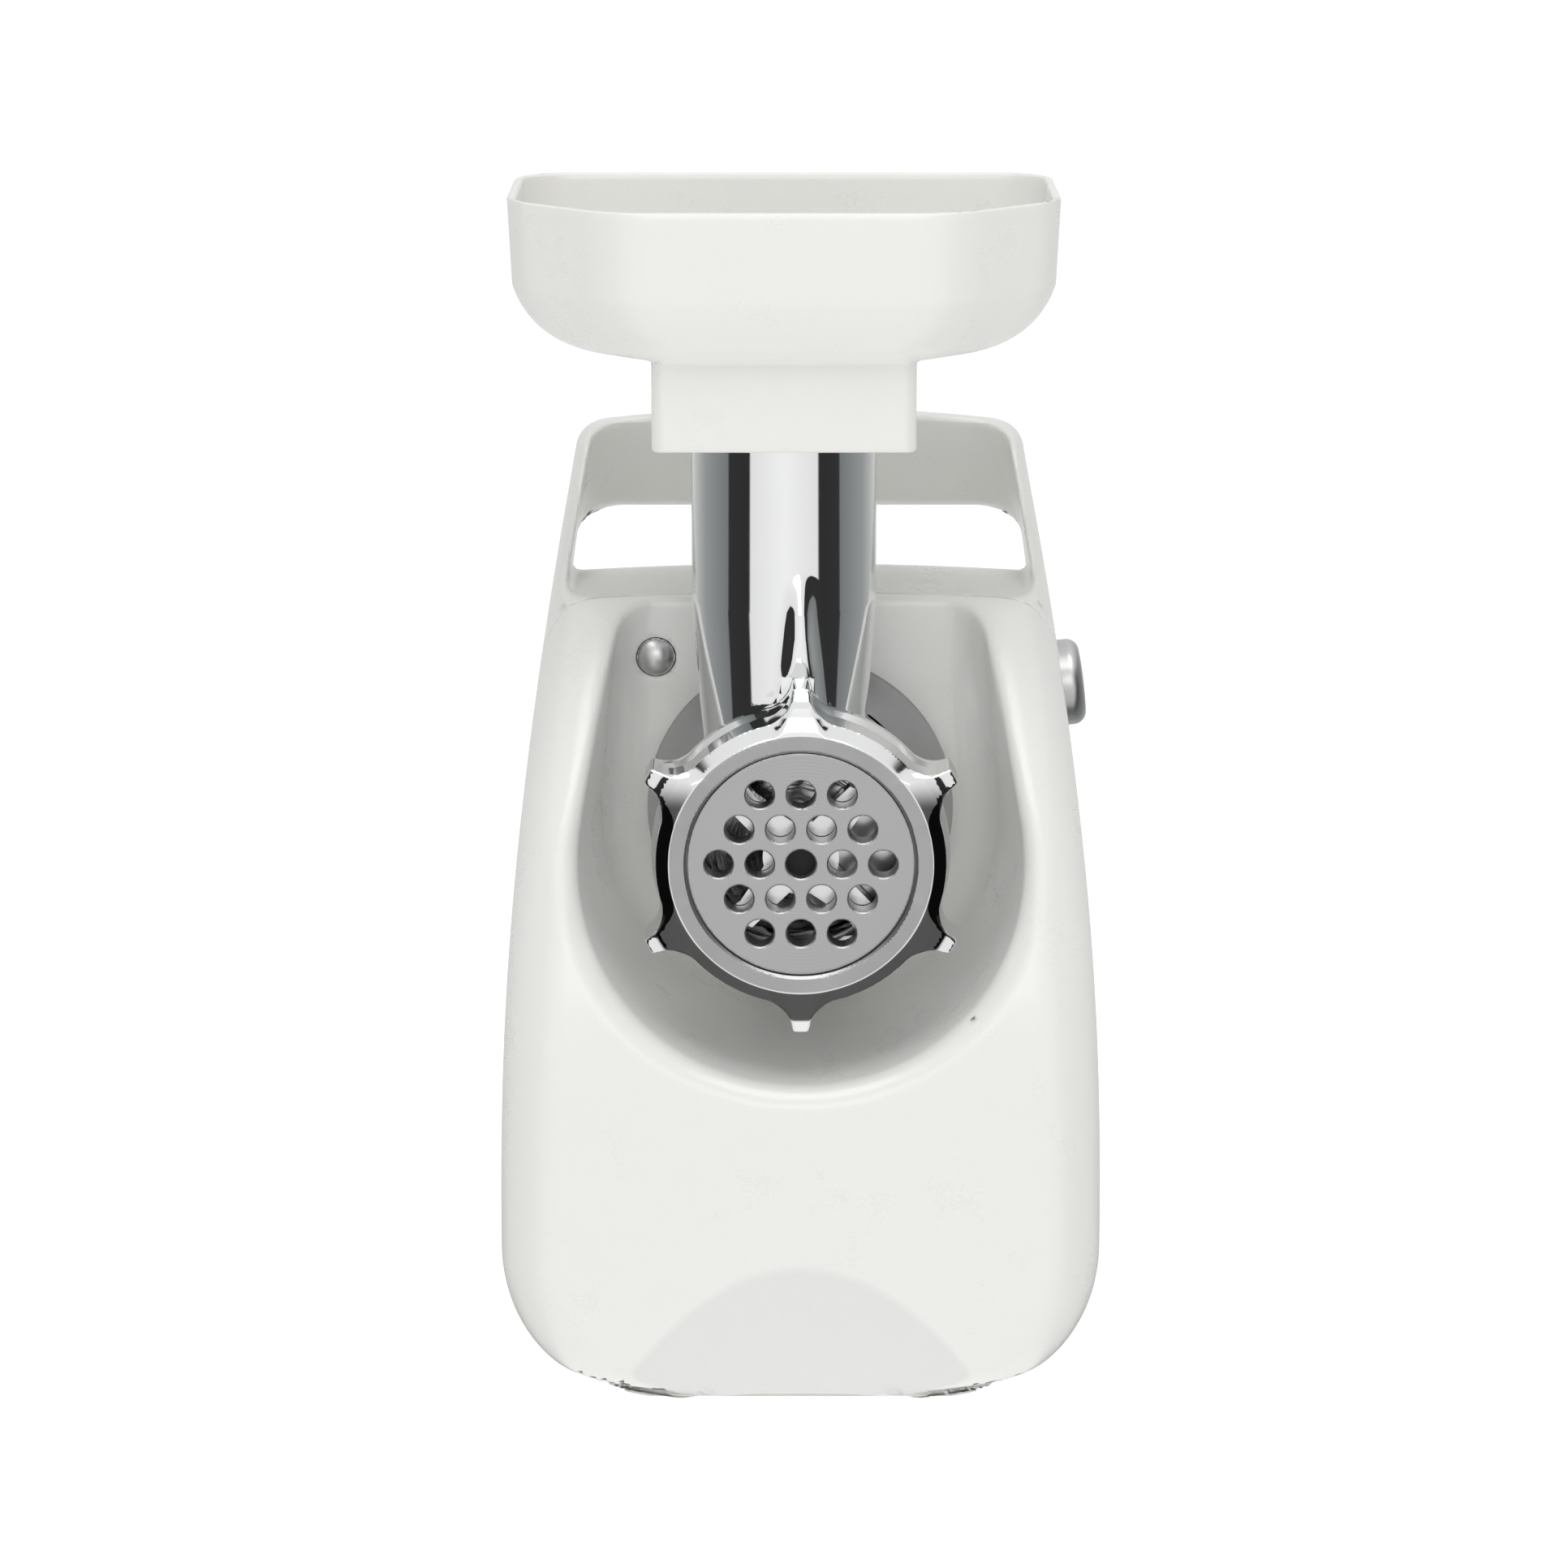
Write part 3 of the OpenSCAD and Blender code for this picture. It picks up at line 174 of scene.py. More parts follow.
world = bpy.data.worlds.new("studio_room")
bpy.context.scene.world = world
world.use_nodes = True
world.node_tree.nodes.clear()
room = Wire(world.node_tree)
sky_place = room.node("ShaderNodeTexCoord")
overhead = sky_place.split()[2].clip(0.5, 0.62)
scenery = overhead.tint(cards_round(room, sky_place), (0.9, 0.9, 0.9, 1))
camera_ray, glossy_ray = 0, 3  # outputs of the Light Path node
seen = room.node("ShaderNodeLightPath", out=camera_ray)
mirrored = room.node("ShaderNodeLightPath", out=glossy_ray)
ambient = seen.tint((0.52, 0.52, 0.515, 1), (1.0, 1.0, 1.0, 1))
glow_colour = mirrored.tint(ambient, scenery)
glow = room.node("ShaderNodeBackground", {}, {"Color": glow_colour, "Strength": 1.0})
room.node("ShaderNodeOutputWorld", {}, {"Surface": glow})
bpy.context.scene.view_settings.view_transform = "Standard"

camera_tilt = 13.11  # degrees below level
lens = bpy.data.cameras.new("photo_view")
lens.lens = 120.7
lens.sensor_width = 36.0
lens.clip_end = 30.0
photo_view = bpy.data.objects.new("photo_view", lens)
photo_view.location = (-0.0042, -1.3514, 0.4575)
photo_view.rotation_euler = (math.radians(90.0 - camera_tilt), 0.0, 0.0)
bpy.context.scene.collection.objects.link(photo_view)
bpy.context.scene.camera = photo_view


def finish(name):
    """A new material with its output left open; cover() closes it."""
    material = bpy.data.materials.new(name)
    material.use_nodes = True
    material.node_tree.nodes.clear()
    return material, Wire(material.node_tree)


def cover(start, colour, roughness, bump=None, metallic=0.0, **fixed):
    inputs = {"Base Color": colour, "Roughness": roughness, "Metallic": metallic}
    if bump is not None:
        height, depth = bump
        relief = {"Height": height, "Distance": depth, "Strength": 1.0}
        inputs["Normal"] = start.node("ShaderNodeBump", {}, relief)
    for key, value in fixed.items():
        inputs[key.replace("_", " ")] = value
    surface = start.node("ShaderNodeBsdfPrincipled", {}, inputs)
    start.node("ShaderNodeOutputMaterial", {}, {"Surface": surface})


def place_of(start):
    """Where a point is on the piece, in metres, which the piece keeps as it moves."""
    return start.node("ShaderNodeTexCoord", out=3)


def grain(start, scale, detail=3.0):
    look = {"Vector": place_of(start), "Scale": scale, "Detail": detail, "Roughness": 0.55}
    return start.node("ShaderNodeTexNoise", {}, look)


floor_paint, start = finish("studio_floor_paint")
paint_look = {
    "Base Color": grain(start, 3.0).tint((0.9, 0.9, 0.9, 1), (0.92, 0.92, 0.92, 1)),
    "Roughness": 0.8,
    "Emission Color": (1.0, 1.0, 1.0, 1.0),
    "Emission Strength": 0.25,
}
paint = start.node("ShaderNodeBsdfPrincipled", {}, paint_look)
white = start.node("ShaderNodeEmission", {}, {"Color": (1.0, 1.0, 1.0, 1), "Strength": 1.3})
seen = start.node("ShaderNodeLightPath", out=camera_ray)
plain = start.node("ShaderNodeMixShader", {}, {0: seen * 0.6, 1: paint, 2: white})
card_look = {"Color": cards_round(start, place_of(start)), "Strength": 1.0}
cards = start.node("ShaderNodeEmission", {}, card_look)
mirrored = start.node("ShaderNodeLightPath", out=glossy_ray)
backdrop = start.node("ShaderNodeMixShader", {}, {0: mirrored, 1: plain, 2: cards})
start.node("ShaderNodeOutputMaterial", {}, {"Surface": backdrop})
floor_data.materials.append(floor_paint)


# Housing: two deep shells of gloss off-white ABS, injection moulded with rounded edges and draft,
# that meet on a fine seam round the sides. The front one carries the head's recess.
# A shape is a function of place, in millimetres: negative inside the solid and zero on its surface.
def blend_cut(a, b, radius):
    """What both solids share, with the edge between them rounded."""
    near_edge = np.hypot(np.maximum(a + radius, 0), np.maximum(b + radius, 0))
    return np.minimum(-radius, np.maximum(a, b)) + near_edge


def blend_join(a, b, radius):
    """Both solids together, with a fillet between them."""
    return -blend_cut(-a, -b, radius)


def steepest(shape, p, step=0.04):
    """The way that leads out of a shape fastest, at each point."""
    x, y, z = p.T
    return np.stack(
        [
            shape(x + step, y, z) - shape(x - step, y, z),
            shape(x, y + step, z) - shape(x, y - step, z),
            shape(x, y, z + step) - shape(x, y, z - step),
        ],
        axis=1,
    ) / (2 * step)


def unit(v):
    return v / np.maximum(np.linalg.norm(v, axis=1, keepdims=True), 1e-9)


def mould(name, shape, low, high, cell):
    """A closed mesh of a shape, with its true curvature in the normals and its creases kept."""
    axes = [np.arange(a - 1.6 * cell, b + 2.6 * cell, cell) for a, b in zip(low, high)]
    size = np.array([len(a) for a in axes])
    value = shape(axes[0][:, None, None], axes[1][None, :, None], axes[2][None, None, :])
    value = np.broadcast_to(value, size)
    value = np.where(np.abs(value) < 1e-7, 1e-7, value)
    origin = np.array([a[0] for a in axes])
    inside = value < 0
    cells, points, flips = [], [], []
    for axis in range(3):
        near, far = [slice(None)] * 3, [slice(None)] * 3
        near[axis], far[axis] = slice(0, -1), slice(1, None)
        near, far = tuple(near), tuple(far)
        # Where the surface crosses the grid lines that run this way
        at = np.argwhere(inside[near] != inside[far])
        step = np.eye(3, dtype=int)[axis]
        v0, v1 = value[tuple(at.T)], value[tuple((at + step).T)]
        a, b = np.zeros(len(at)), np.ones(len(at))
        for _ in range(3):
            t = a - v0 * (b - a) / (v1 - v0)
            p = origin + cell * (at + t[:, None] * step)
            v = shape(*p.T)
            same = (v < 0) == (v0 < 0)
            a, v0 = np.where(same, t, a), np.where(same, v, v0)
            b, v1 = np.where(same, b, t), np.where(same, v1, v)
            flat = np.abs(v1 - v0) < 1e-9
            v1 = np.where(flat, v0 + 1e-9, v1)
        t = a - v0 * (b - a) / (v1 - v0)
        points.append(origin + cell * (at + np.clip(t, 0, 1)[:, None] * step))
        turn = np.eye(3, dtype=int)[[(axis + 1) % 3, (axis + 2) % 3]]
        around = np.stack([at, at - turn[0], at - turn[0] - turn[1], at - turn[1]])
        cells.append(np.ravel_multi_index(tuple(np.moveaxis(around, 2, 0)), size))
        flips.append(inside[tuple((at + step).T)])
    cells, points, flips = np.concatenate(cells, axis=1), np.concatenate(points), np.concatenate(flips)
    used, corner = np.unique(cells, return_inverse=True)
    corner = corner.reshape(cells.shape)
    # One corner a cell, drawn to where the tangent planes of its crossings meet
    normal = unit(steepest(shape, points))
    flat = corner.ravel()
    total = np.bincount(flat, minlength=len(used)).astype(float)
    spread = np.tile(points, (4, 1))
    facing = np.tile(normal, (4, 1))
    middle = np.stack([np.bincount(flat, spread[:, i], len(used)) for i in range(3)], axis=1)
    middle /= total[:, None]
    reach = np.einsum("ij,ij->i", facing, spread - middle[flat])
    pull = np.stack([np.bincount(flat, facing[:, i] * reach, len(used)) for i in range(3)], axis=1)
    grid = np.empty((len(used), 3, 3))
    for i in range(3):
        for j in range(3):
            grid[:, i, j] = np.bincount(flat, facing[:, i] * facing[:, j], len(used))
    grid += np.eye(3) * 0.06
    shift = np.linalg.solve(grid, pull[:, :, None])[:, :, 0]
    long = np.linalg.norm(shift, axis=1)
    shift *= np.minimum(1, 0.9 * cell / np.maximum(long, 1e-9))[:, None]
    verts = middle + shift
    gist = np.stack([np.bincount(flat, facing[:, i], len(used)) for i in range(3)], axis=1)
    sharp = np.linalg.norm(gist, axis=1) / total < 0.93
    # Corners off an edge slide on to the surface
    for _ in range(2):
        way = steepest(shape, verts)
        slide = way * (shape(*verts.T) / np.maximum(np.einsum("ij,ij->i", way, way), 0.2))[:, None]
        long = np.linalg.norm(slide, axis=1)
        slide *= np.minimum(1, 0.4 * cell / np.maximum(long, 1e-9))[:, None]
        verts = np.where(sharp[:, None], verts, verts - slide)
    verts = np.clip(verts, low, high)
    quads = np.where(flips[:, None], corner.T[:, ::-1], corner.T)
    # Normals come from the shape; at an edge, from a little way in on each face
    shade = unit(steepest(shape, verts))[quads].reshape(-1, 3)
    edge = sharp[quads].ravel()
    hub = verts[quads].mean(axis=1)[:, None, :]
    inward = (0.72 * verts[quads] + 0.28 * hub).reshape(-1, 3)[edge]
    shade[edge] = unit(steepest(shape, inward))
    mesh = bpy.data.meshes.new(name)
    mesh.vertices.add(len(verts))
    mesh.vertices.foreach_set("co", (verts / 1000).astype(np.float32).ravel())
    mesh.loops.add(quads.size)
    mesh.loops.foreach_set("vertex_index", quads.astype(np.int32).ravel())
    mesh.polygons.add(len(quads))
    mesh.polygons.foreach_set("loop_start", np.arange(0, quads.size, 4, dtype=np.int32))
    mesh.update(calc_edges=True)
    mesh.validate()
    mesh.polygons.foreach_set("use_smooth", np.ones(len(mesh.polygons), bool))
    if len(mesh.polygons) == len(quads):
        mesh.normals_split_custom_set(shade)
    piece = bpy.data.objects.new(name, mesh)
    bpy.context.scene.collection.objects.link(piece)
    return piece


joints = {joint["name"]: joint for joint in frame["record"]["behaviour"]["joints"]}
mounts = {mount["name"]: mount for mount in frame["record"]["mounts"]}
axis_z = round(joints["auger_spin"]["pos_m"][2] * 1000, 3)
tube_x, tube_y, tube_top = (round(v * 1000, 3) for v in mounts["feed_throat"]["pos_m"])
body_half, body_front, body_back = 76.0, -91.0, 91.0
sole_z, handle_z, crown_z, table_top = 3.0, 238.0, 231.0, 245.0
handle_half = 56.0  # half the width of the handle at its top
wall = 2.8
button_x, _, button_z = (round(v * 500, 2) for v in np.add(*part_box("lock_button")))

# How the body's half width, front and back change with height
heights = np.linspace(-5.0, table_top, 1001)
above = np.clip(heights, sole_z, handle_z)
foot_rise = np.clip((37.0 - np.maximum(0.6, above - sole_z)) / 37.0, 0, 1)
foot_tuck = 31.0 * (1 - np.sqrt(1 - foot_rise**2))
crown_h = handle_z - crown_z
crown_tuck = crown_h * (1 - np.sqrt(1 - np.clip((above - crown_z) / crown_h, 0, 1) ** 2))
toe_tuck = 3.0 * (np.clip(11.0 - above, 0, 8) / 8) ** 2
wide = body_half - 18.2 * (np.maximum(0, above - 45.0) / 193.0) ** 2 - foot_tuck
front_line = body_front + 66.0 * (np.maximum(0, above - 80.0) / 117.0) ** 2.3 + toe_tuck
back_line = body_back - 44.0 * (np.maximum(0, above - 90.0) / 148.0) ** 2 - toe_tuck
room_between = back_line - front_line


def at_height(z, line, capped=table_top):
    return np.interp(np.minimum(z, capped), heights, line)


def lean_of(z, line):
    """How much shorter the straight distance is than the level one on a leaning face."""
    return np.interp(z, heights, 1 / np.sqrt(1 + np.gradient(line, heights) ** 2))


def body_block(x, y, z):
    side = (np.abs(x) - at_height(z, wide - crown_tuck)) * lean_of(z, wide)
    front = (at_height(z, front_line) - y) * lean_of(z, front_line)
    back = (y - at_height(z, back_line)) * lean_of(z, back_line)
    depth = at_height(z, room_between)
    front_half = blend_cut(side, front, np.clip(depth * 0.3, 1, 16))
    back_half = blend_cut(side, back, np.clip(depth * 0.4, 1, 22))
    block = blend_cut(np.maximum(front_half, back_half), sole_z - z, 0.8)
    top = 236.4 - 3.6 * (x / handle_half) ** 2
    return blend_cut(block, z - top, 5.0)


recess_r, recess_back, recess_rise, recess_slant = 50.0, -24.0, 80.0, 0.09


def head_recess(x, y, z, grow=0.0):
    """The space round the head: a half circle below, closing a little upwards, wider in front."""
    radius = recess_r + (recess_back - y) * 0.125 + grow
    level = math.sqrt(1 - recess_slant**2)
    ax, up = np.abs(x), z - axis_z
    along = level * up - recess_slant * ax
    straight = level * ax + recess_slant * up - radius
    low_end = np.hypot(ax, up) - radius
    high_end = np.hypot(ax, up - recess_rise) - (radius - recess_slant * recess_rise)
    ring = np.where(along < 0, low_end, np.where(along > level * recess_rise, high_end, straight))
    return blend_cut(ring * 0.992, y - recess_back - grow, 9.0 + grow)


scoop_half, scoop_deep, scoop_high = 49.0, 6.2, 35.5
scoop_tilt = math.atan(scoop_deep / scoop_high)
scoop_round = (scoop_half**2 + scoop_deep**2) / (2 * scoop_deep)
scoop_y = body_front + scoop_deep


def foot_scoop(x, y, z):
    lean = (y - scoop_y) * math.cos(scoop_tilt) + (z - sole_z) * math.sin(scoop_tilt)
    return np.hypot(x, lean + scoop_round) - scoop_round


deck_z, band_low_z, band_t, arm_t = 198.5, 207.0, 9.5, 4.0
deck_run = np.linspace(-60.0, 110.0, 341)
deck_rise = np.minimum(deck_z, deck_z - (deck_run - 27.0) * 0.5625)
deck_rise = np.minimum(deck_rise, 189.5 - (deck_run - 43.0) * 0.43)
deck_rise = np.convolve(np.pad(deck_rise, 12, "edge"), np.ones(25) / 25, "valid")
deck_rise = np.where(deck_run < 0.0, deck_z, deck_rise)


def handle_space(x, y, z, clear=0.0):
    """The hand's space over the deck and under the band; with clear, wider than the body."""
    deck = np.interp(y, deck_run, deck_rise) - 1.6 * (x / handle_half) ** 2
    above_deck = (deck - z) * 0.93
    band_front = (at_height(z, back_line) - band_t - y) * lean_of(z, back_line)
    band = blend_cut(band_low_z - z, band_front, 5.0)
    arms = (np.abs(x) - at_height(z, wide, crown_z) + arm_t - clear) * lean_of(z, wide)
    if clear:
        return np.maximum(above_deck, -band)
    return np.maximum(blend_cut(above_deck, arms, 3.0), blend_cut(-band, arms, 11.0))


def body_skin(x, y, z, space):
    mouth_edge = np.interp(z, [140.0, 190.0], [5.5, 1.6])
    skin = blend_cut(body_block(x, y, z), -head_recess(x, y, z), mouth_edge)
    skin = blend_cut(skin, -foot_scoop(x, y, z), 1.2)
    return blend_cut(skin, -space, 2.4)


def rod(u, v, radius, w, start, end):
    """A round bar, or a hole, along one axis."""
    return np.maximum(np.hypot(u, v) - radius, np.abs(w - (start + end) / 2) - abs(end - start) / 2)


def body_shell(x, y, z):
    outside = body_skin(x, y, z, handle_space(x, y, z))
    hollow = body_skin(x, y, z, handle_space(x, y, z, 30.0)) + wall
    return np.maximum(outside, -hollow)


seam_line = np.minimum(front_line + 24.0, recess_back + wall)


def front_zone(x, y, z, grow):
    ahead = (y - at_height(z, seam_line) - grow) * lean_of(z, seam_line)
    ahead = np.maximum(ahead, z - 210.5)
    dish = np.maximum(head_recess(x, y, z, wall + grow), z - 198.6)
    return np.minimum(ahead, dish)


low_post, high_post = (60.0, 26.0, -87.2), (50.0, 118.0, -32.0)
screw_posts = [(side * px, pz, start) for side in (-1, 1) for px, pz, start in (low_post, high_post)]
base_posts = [(side * 37.0, py) for side in (-1, 1) for py in (-46.0, 51.0)]
post_r, driver_hole_r, thread_hole_r, screw_hole_r = 4.5, 3.8, 1.65, 1.8


def floor_opening(x, y, z):
    return np.maximum(blend_cut(np.abs(x) - 40.0, np.abs(y - 4.0) - 80.0, 6.0), np.abs(z - 4.4) - 2.4)


def front_shell(x, y, z):
    shell = blend_cut(body_shell(x, y, z), front_zone(x, y, z, 0.0), 0.35)
    for px, pz, start in screw_posts:
        shell = np.minimum(shell, rod(x - px, z - pz, post_r, y, start, 2.0))
    for px, pz, start in screw_posts:
        shell = np.maximum(shell, -rod(x - px, z - pz, thread_hole_r, y, -14.0, 6.0))
    shell = blend_cut(shell, -rod(x, z - axis_z, 37.2, y, -40.0, 0.0), 0.4)
    shell = blend_cut(shell, -rod(x - button_x, z - button_z, 5.15, y, -40.0, 4.0), 0.5)
    return np.maximum(shell, -floor_opening(x, y, z))


front_housing = mould(
    "front_cover", front_shell, (-body_half, body_front, sole_z), (body_half, 0.0, 211.0), 1.5
)
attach(front_housing, "housing")
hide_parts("front_housing")

shell_paint, start = finish("gloss_off_white_abs")
cloud = grain(start, 9.0, 2.0)
flow = grain(start, 46.0, 4.0)
skin = grain(start, 900.0, 2.0)
speck = grain(start, 2600.0, 1.0)
x, y, z = place_of(start).split()
lean = (y - scoop_y / 1000) * math.cos(scoop_tilt) + (z - sole_z / 1000) * math.sin(scoop_tilt)
lean = lean + scoop_round / 1000
out_of_scoop = start.math("SQRT", x * x + lean * lean) - scoop_round / 1000
# The finger scoop is matte, and its colour is darkened there as painted shade.
scoop_matte_and_shade = 1.0 - out_of_scoop.clip(0.0002, 0.0005)
abs_white = (cloud * 0.6 + flow * 0.4).tint((0.845, 0.85, 0.825, 1), (0.875, 0.875, 0.85, 1))
cover(
    start,
    scoop_matte_and_shade.tint(abs_white, (0.79, 0.795, 0.785, 1)),
    0.235 + flow * 0.07 + speck * 0.03 + scoop_matte_and_shade * 0.25,
    (skin * 0.7 + flow * 1.6 + speck * 0.25, 0.00003),
    Coat_Weight=0.35,
    Coat_Roughness=0.12,
    Subsurface_Weight=0.05,
    Subsurface_Scale=0.004,
)
front_housing.data.materials.append(shell_paint)

vent_slots = [8.0 * i for i in range(-4, 5)]
vent_z, vent_half = 71.0, 21.5
inlet_x, inlet_z, inlet_r = 44.0, 24.0, 6.1
knob_lean = math.asin(joints["switch_turn"]["axis"][2])
knob_hub = np.array(joints["switch_turn"]["pos_m"]) * 1000


def along_knob(x, y, z):
    """Places seen from the switch: across the wall, along it and up it."""
    dx, dz = x - knob_hub[0], z - knob_hub[2]
    out = dx * math.cos(knob_lean) + dz * math.sin(knob_lean)
    up = dz * math.cos(knob_lean) - dx * math.sin(knob_lean)
    return out, y - knob_hub[1], up


def rear_shell(x, y, z):
    shell = blend_cut(body_shell(x, y, z), -front_zone(x, y, z, 0.3), 0.35)
    block = body_block(x, y, z) + 0.6
    for px, pz, start in screw_posts:
        shell = np.minimum(shell, np.maximum(rod(x - px, z - pz, 6.0, y, 2.4, 100.0), block))
    for px, py in base_posts:
        shell = np.minimum(shell, rod(x - px, y - py, 4.2, z, 3.2, 15.0))
    for px, pz, start in screw_posts:
        head = np.interp(pz, heights, back_line) - 42.0
        shell = np.maximum(shell, -rod(x - px, z - pz, driver_hole_r, y, head, 110.0))
        shell = np.maximum(shell, -rod(x - px, z - pz, screw_hole_r, y, -8.0, 110.0))
    for slot_x in vent_slots:
        rise = np.maximum(np.abs(z - vent_z) - vent_half, 0)
        shell = blend_cut(shell, -rod(x - slot_x, rise, 1.5, y, 71.0, 111.0), 0.3)
    shell = blend_cut(shell, -rod(x - inlet_x, z - inlet_z, inlet_r, y, 71.0, 111.0), 0.3)
    out, along, up = along_knob(x, y, z)
    shell = blend_cut(shell, -rod(along, up, 12.0, out, -0.6, 12.0), 0.3)
    shell = np.maximum(shell, -rod(along, up, 3.4, out, -20.0, 12.0))
    opening = floor_opening(x, y, z)
    for px, py in base_posts:
        opening = np.maximum(opening, 4.2 - np.hypot(x - px, y - py))
        shell = np.maximum(shell, -rod(x - px, y - py, 1.7, z, 1.0, 12.5))
    return np.maximum(shell, -opening)


rear_housing = mould(
    "rear_cover", rear_shell, (-body_half, -67.5, sole_z), (body_half, body_back, handle_z), 1.7
)
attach(rear_housing, "housing")
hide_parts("rear_housing")
rear_housing.data.materials.append(shell_paint)


# Base: a slotted ABS plate screwed under the shells, with four grey rubber feet pushed into it and
# the cord's soft black grommet in the back wall. The electrical parts inside are moulded too.
def dress(node, material):
    """Gives a CAD piece its finish."""
    slots = frame["nodes"][node].data.materials
    if len(slots) == 0:
        slots.append(material)
    for i in range(len(slots)):
        slots[i] = material


def moulded(name, dark, light, roughness, depth, sheen=0.0):
    material, start = finish(name)
    tone, fine = grain(start, 60.0, 4.0), grain(start, 1400.0, 3.0)
    cover(
        start,
        (tone * 0.7 + fine * 0.3).tint((*dark, 1), (*light, 1)),
        roughness + tone * 0.12 + fine * 0.06,
        (fine + tone * 0.5, depth),
        Sheen_Weight=sheen,
    )
    return material


sole_half, sole_front, sole_back, sole_t = 45.0, -81.0, 88.0, 1.6
slot_pitch, slot_half = 7.0, 1.5


def sole_plate(x, y, z):
    outline = np.maximum(body_block(x, y, sole_z + 1.2) + 1.0, np.abs(x) - sole_half)
    outline = np.maximum(outline, np.maximum(sole_front - y, y - sole_back))
    across = np.abs((x + slot_pitch / 2) % slot_pitch - slot_pitch / 2) - slot_half
    slots = np.maximum(across, np.maximum(np.abs(y - 25.0) - 20.0, np.abs(x) - 31.0))
    plate = np.maximum(outline, -slots)
    return np.maximum(plate, np.abs(z - sole_z + sole_t / 2) - sole_t / 2)


sole_low = (-sole_half, sole_front, sole_z - sole_t)
sole = mould("sole_plate", sole_plate, sole_low, (sole_half, sole_back, sole_z), 0.8)
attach(sole, "housing")
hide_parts("base_plate")
satin_abs = moulded("satin_off_white_abs", (0.70, 0.70, 0.68), (0.78, 0.78, 0.76), 0.42, 0.00006)
sole.data.materials.append(satin_abs)
soft_black = moulded("soft_black_rubber", (0.018, 0.018, 0.019), (0.035, 0.035, 0.036), 0.68, 0.0001, 0.2)
soft_grey = moulded("soft_grey_rubber", (0.46, 0.46, 0.45), (0.56, 0.56, 0.55), 0.68, 0.0001, 0.2)
dress("rubber_feet", soft_grey)
dress("cord_inlet", soft_black)
dense_black = moulded("black_phenolic", (0.02, 0.02, 0.022), (0.045, 0.045, 0.048), 0.38, 0.00005)
dress("switch_block", dense_black)
dress("brush_holders", dense_black)
dress("terminal_block", moulded("ivory_polyamide", (0.55, 0.52, 0.42), (0.68, 0.65, 0.54), 0.4, 0.00005))
dress("filter_capacitor", moulded("yellow_film_wrap", (0.62, 0.40, 0.08), (0.75, 0.52, 0.14), 0.3, 0.00003))
dress("carbon_brushes", moulded("pressed_carbon", (0.012, 0.012, 0.013), (0.05, 0.05, 0.052), 0.75, 0.0001))


# Fasteners and shafts: bright zinc-plated and ground steel, turned and rolled, with the faint rings
# that turning leaves and a little darkening where oil has been.
def metal(name, dark, light, roughness, scale, depth, rings=0.0, wear=0.1):
    """A metal with a fine grain, soft stains, and turned rings round the head's axis if asked."""
    material, start = finish(name)
    stain, fine = grain(start, 35.0, 5.0), grain(start, scale, 2.0)
    height = fine
    if rings:
        x, _, z = place_of(start).split()
        upward = z - axis_z / 1000
        radius = start.math("SQRT", x * x + upward * upward)
        wave = start.math("SINE", radius * (2 * math.pi / rings) + fine * 1.5)
        height = fine * 0.5 + wave * 0.5
    cover(
        start,
        (stain * 0.8 + fine * 0.2).tint((*dark, 1), (*light, 1)),
        roughness + stain * wear + fine * 0.04,
        (height, depth),
        metallic=1.0,
    )
    return material


zinc = metal("zinc_plated_steel", (0.52, 0.53, 0.54), (0.66, 0.67, 0.68), 0.28, 900.0, 0.00001)
for node in ("base_screws", "housing_screws", "gearbox_screws", "motor_bolts", "lock_latch"):
    dress(node, zinc)
ground = metal("ground_steel", (0.50, 0.50, 0.51), (0.64, 0.64, 0.65), 0.2, 1200.0, 0.000006)
for node in ("output_shaft", "motor_shaft", "middle_pin", "knob_spindle", "motor_bearings"):
    dress(node, ground)
hobbed = metal("hobbed_steel", (0.42, 0.42, 0.43), (0.56, 0.56, 0.57), 0.3, 700.0, 0.00001, 0.0004)
for node in ("middle_pinion", "motor_pinion", "output_gear"):
    dress(node, hobbed)
sheet_steel = metal("pressed_sheet_steel", (0.45, 0.46, 0.46), (0.6, 0.6, 0.61), 0.34, 300.0, 0.00002)
dress("front_bracket", sheet_steel)
dress("rear_bracket", sheet_steel)
dress("drive_bushing", metal("sintered_bronze", (0.42, 0.25, 0.12), (0.6, 0.38, 0.19), 0.4, 2200.0, 0.00002))
dress("commutator", metal("drawn_copper", (0.62, 0.29, 0.16), (0.8, 0.42, 0.25), 0.26, 1500.0, 0.000008))


# Gearbox and motor: a ribbed gearbox in black-grey glass-filled nylon, white nylon gears, laminated
# iron cores and varnished copper coils, with a moulded fan on the shaft's end.
gearbox_black = moulded("glass_filled_nylon", (0.05, 0.05, 0.052), (0.09, 0.09, 0.092), 0.5, 0.00012)
dress("gearbox_cover", gearbox_black)
dress("gearbox_case", gearbox_black)
dress("cooling_fan", gearbox_black)
dress("middle_gear", moulded("white_gear_nylon", (0.72, 0.71, 0.66), (0.82, 0.81, 0.76), 0.33, 0.00004))


def layered(name, dark, light, roughness, pitch, metallic):
    """Thin layers or turns side by side along the motor's shaft."""
    material, start = finish(name)
    along = place_of(start).split()[1]
    fine = grain(start, 800.0, 3.0)
    wave = start.math("SINE", along * (2 * math.pi / pitch)) * 0.5 + 0.5
    cover(
        start,
        (wave * 0.7 + fine * 0.3).tint((*dark, 1), (*light, 1)),
        roughness + fine * 0.15,
        (wave + fine * 0.2, 0.00015),
        metallic=metallic,
    )
    return material


iron = layered("laminated_iron", (0.16, 0.155, 0.15), (0.34, 0.33, 0.32), 0.38, 0.0007, 1.0)
dress("stator_core", iron)
dress("armature_core", iron)
enamelled = layered("enamelled_copper_wire", (0.36, 0.12, 0.035), (0.66, 0.28, 0.1), 0.28, 0.0006, 0.7)
dress("field_coils", enamelled)
dress("armature_winding", enamelled)


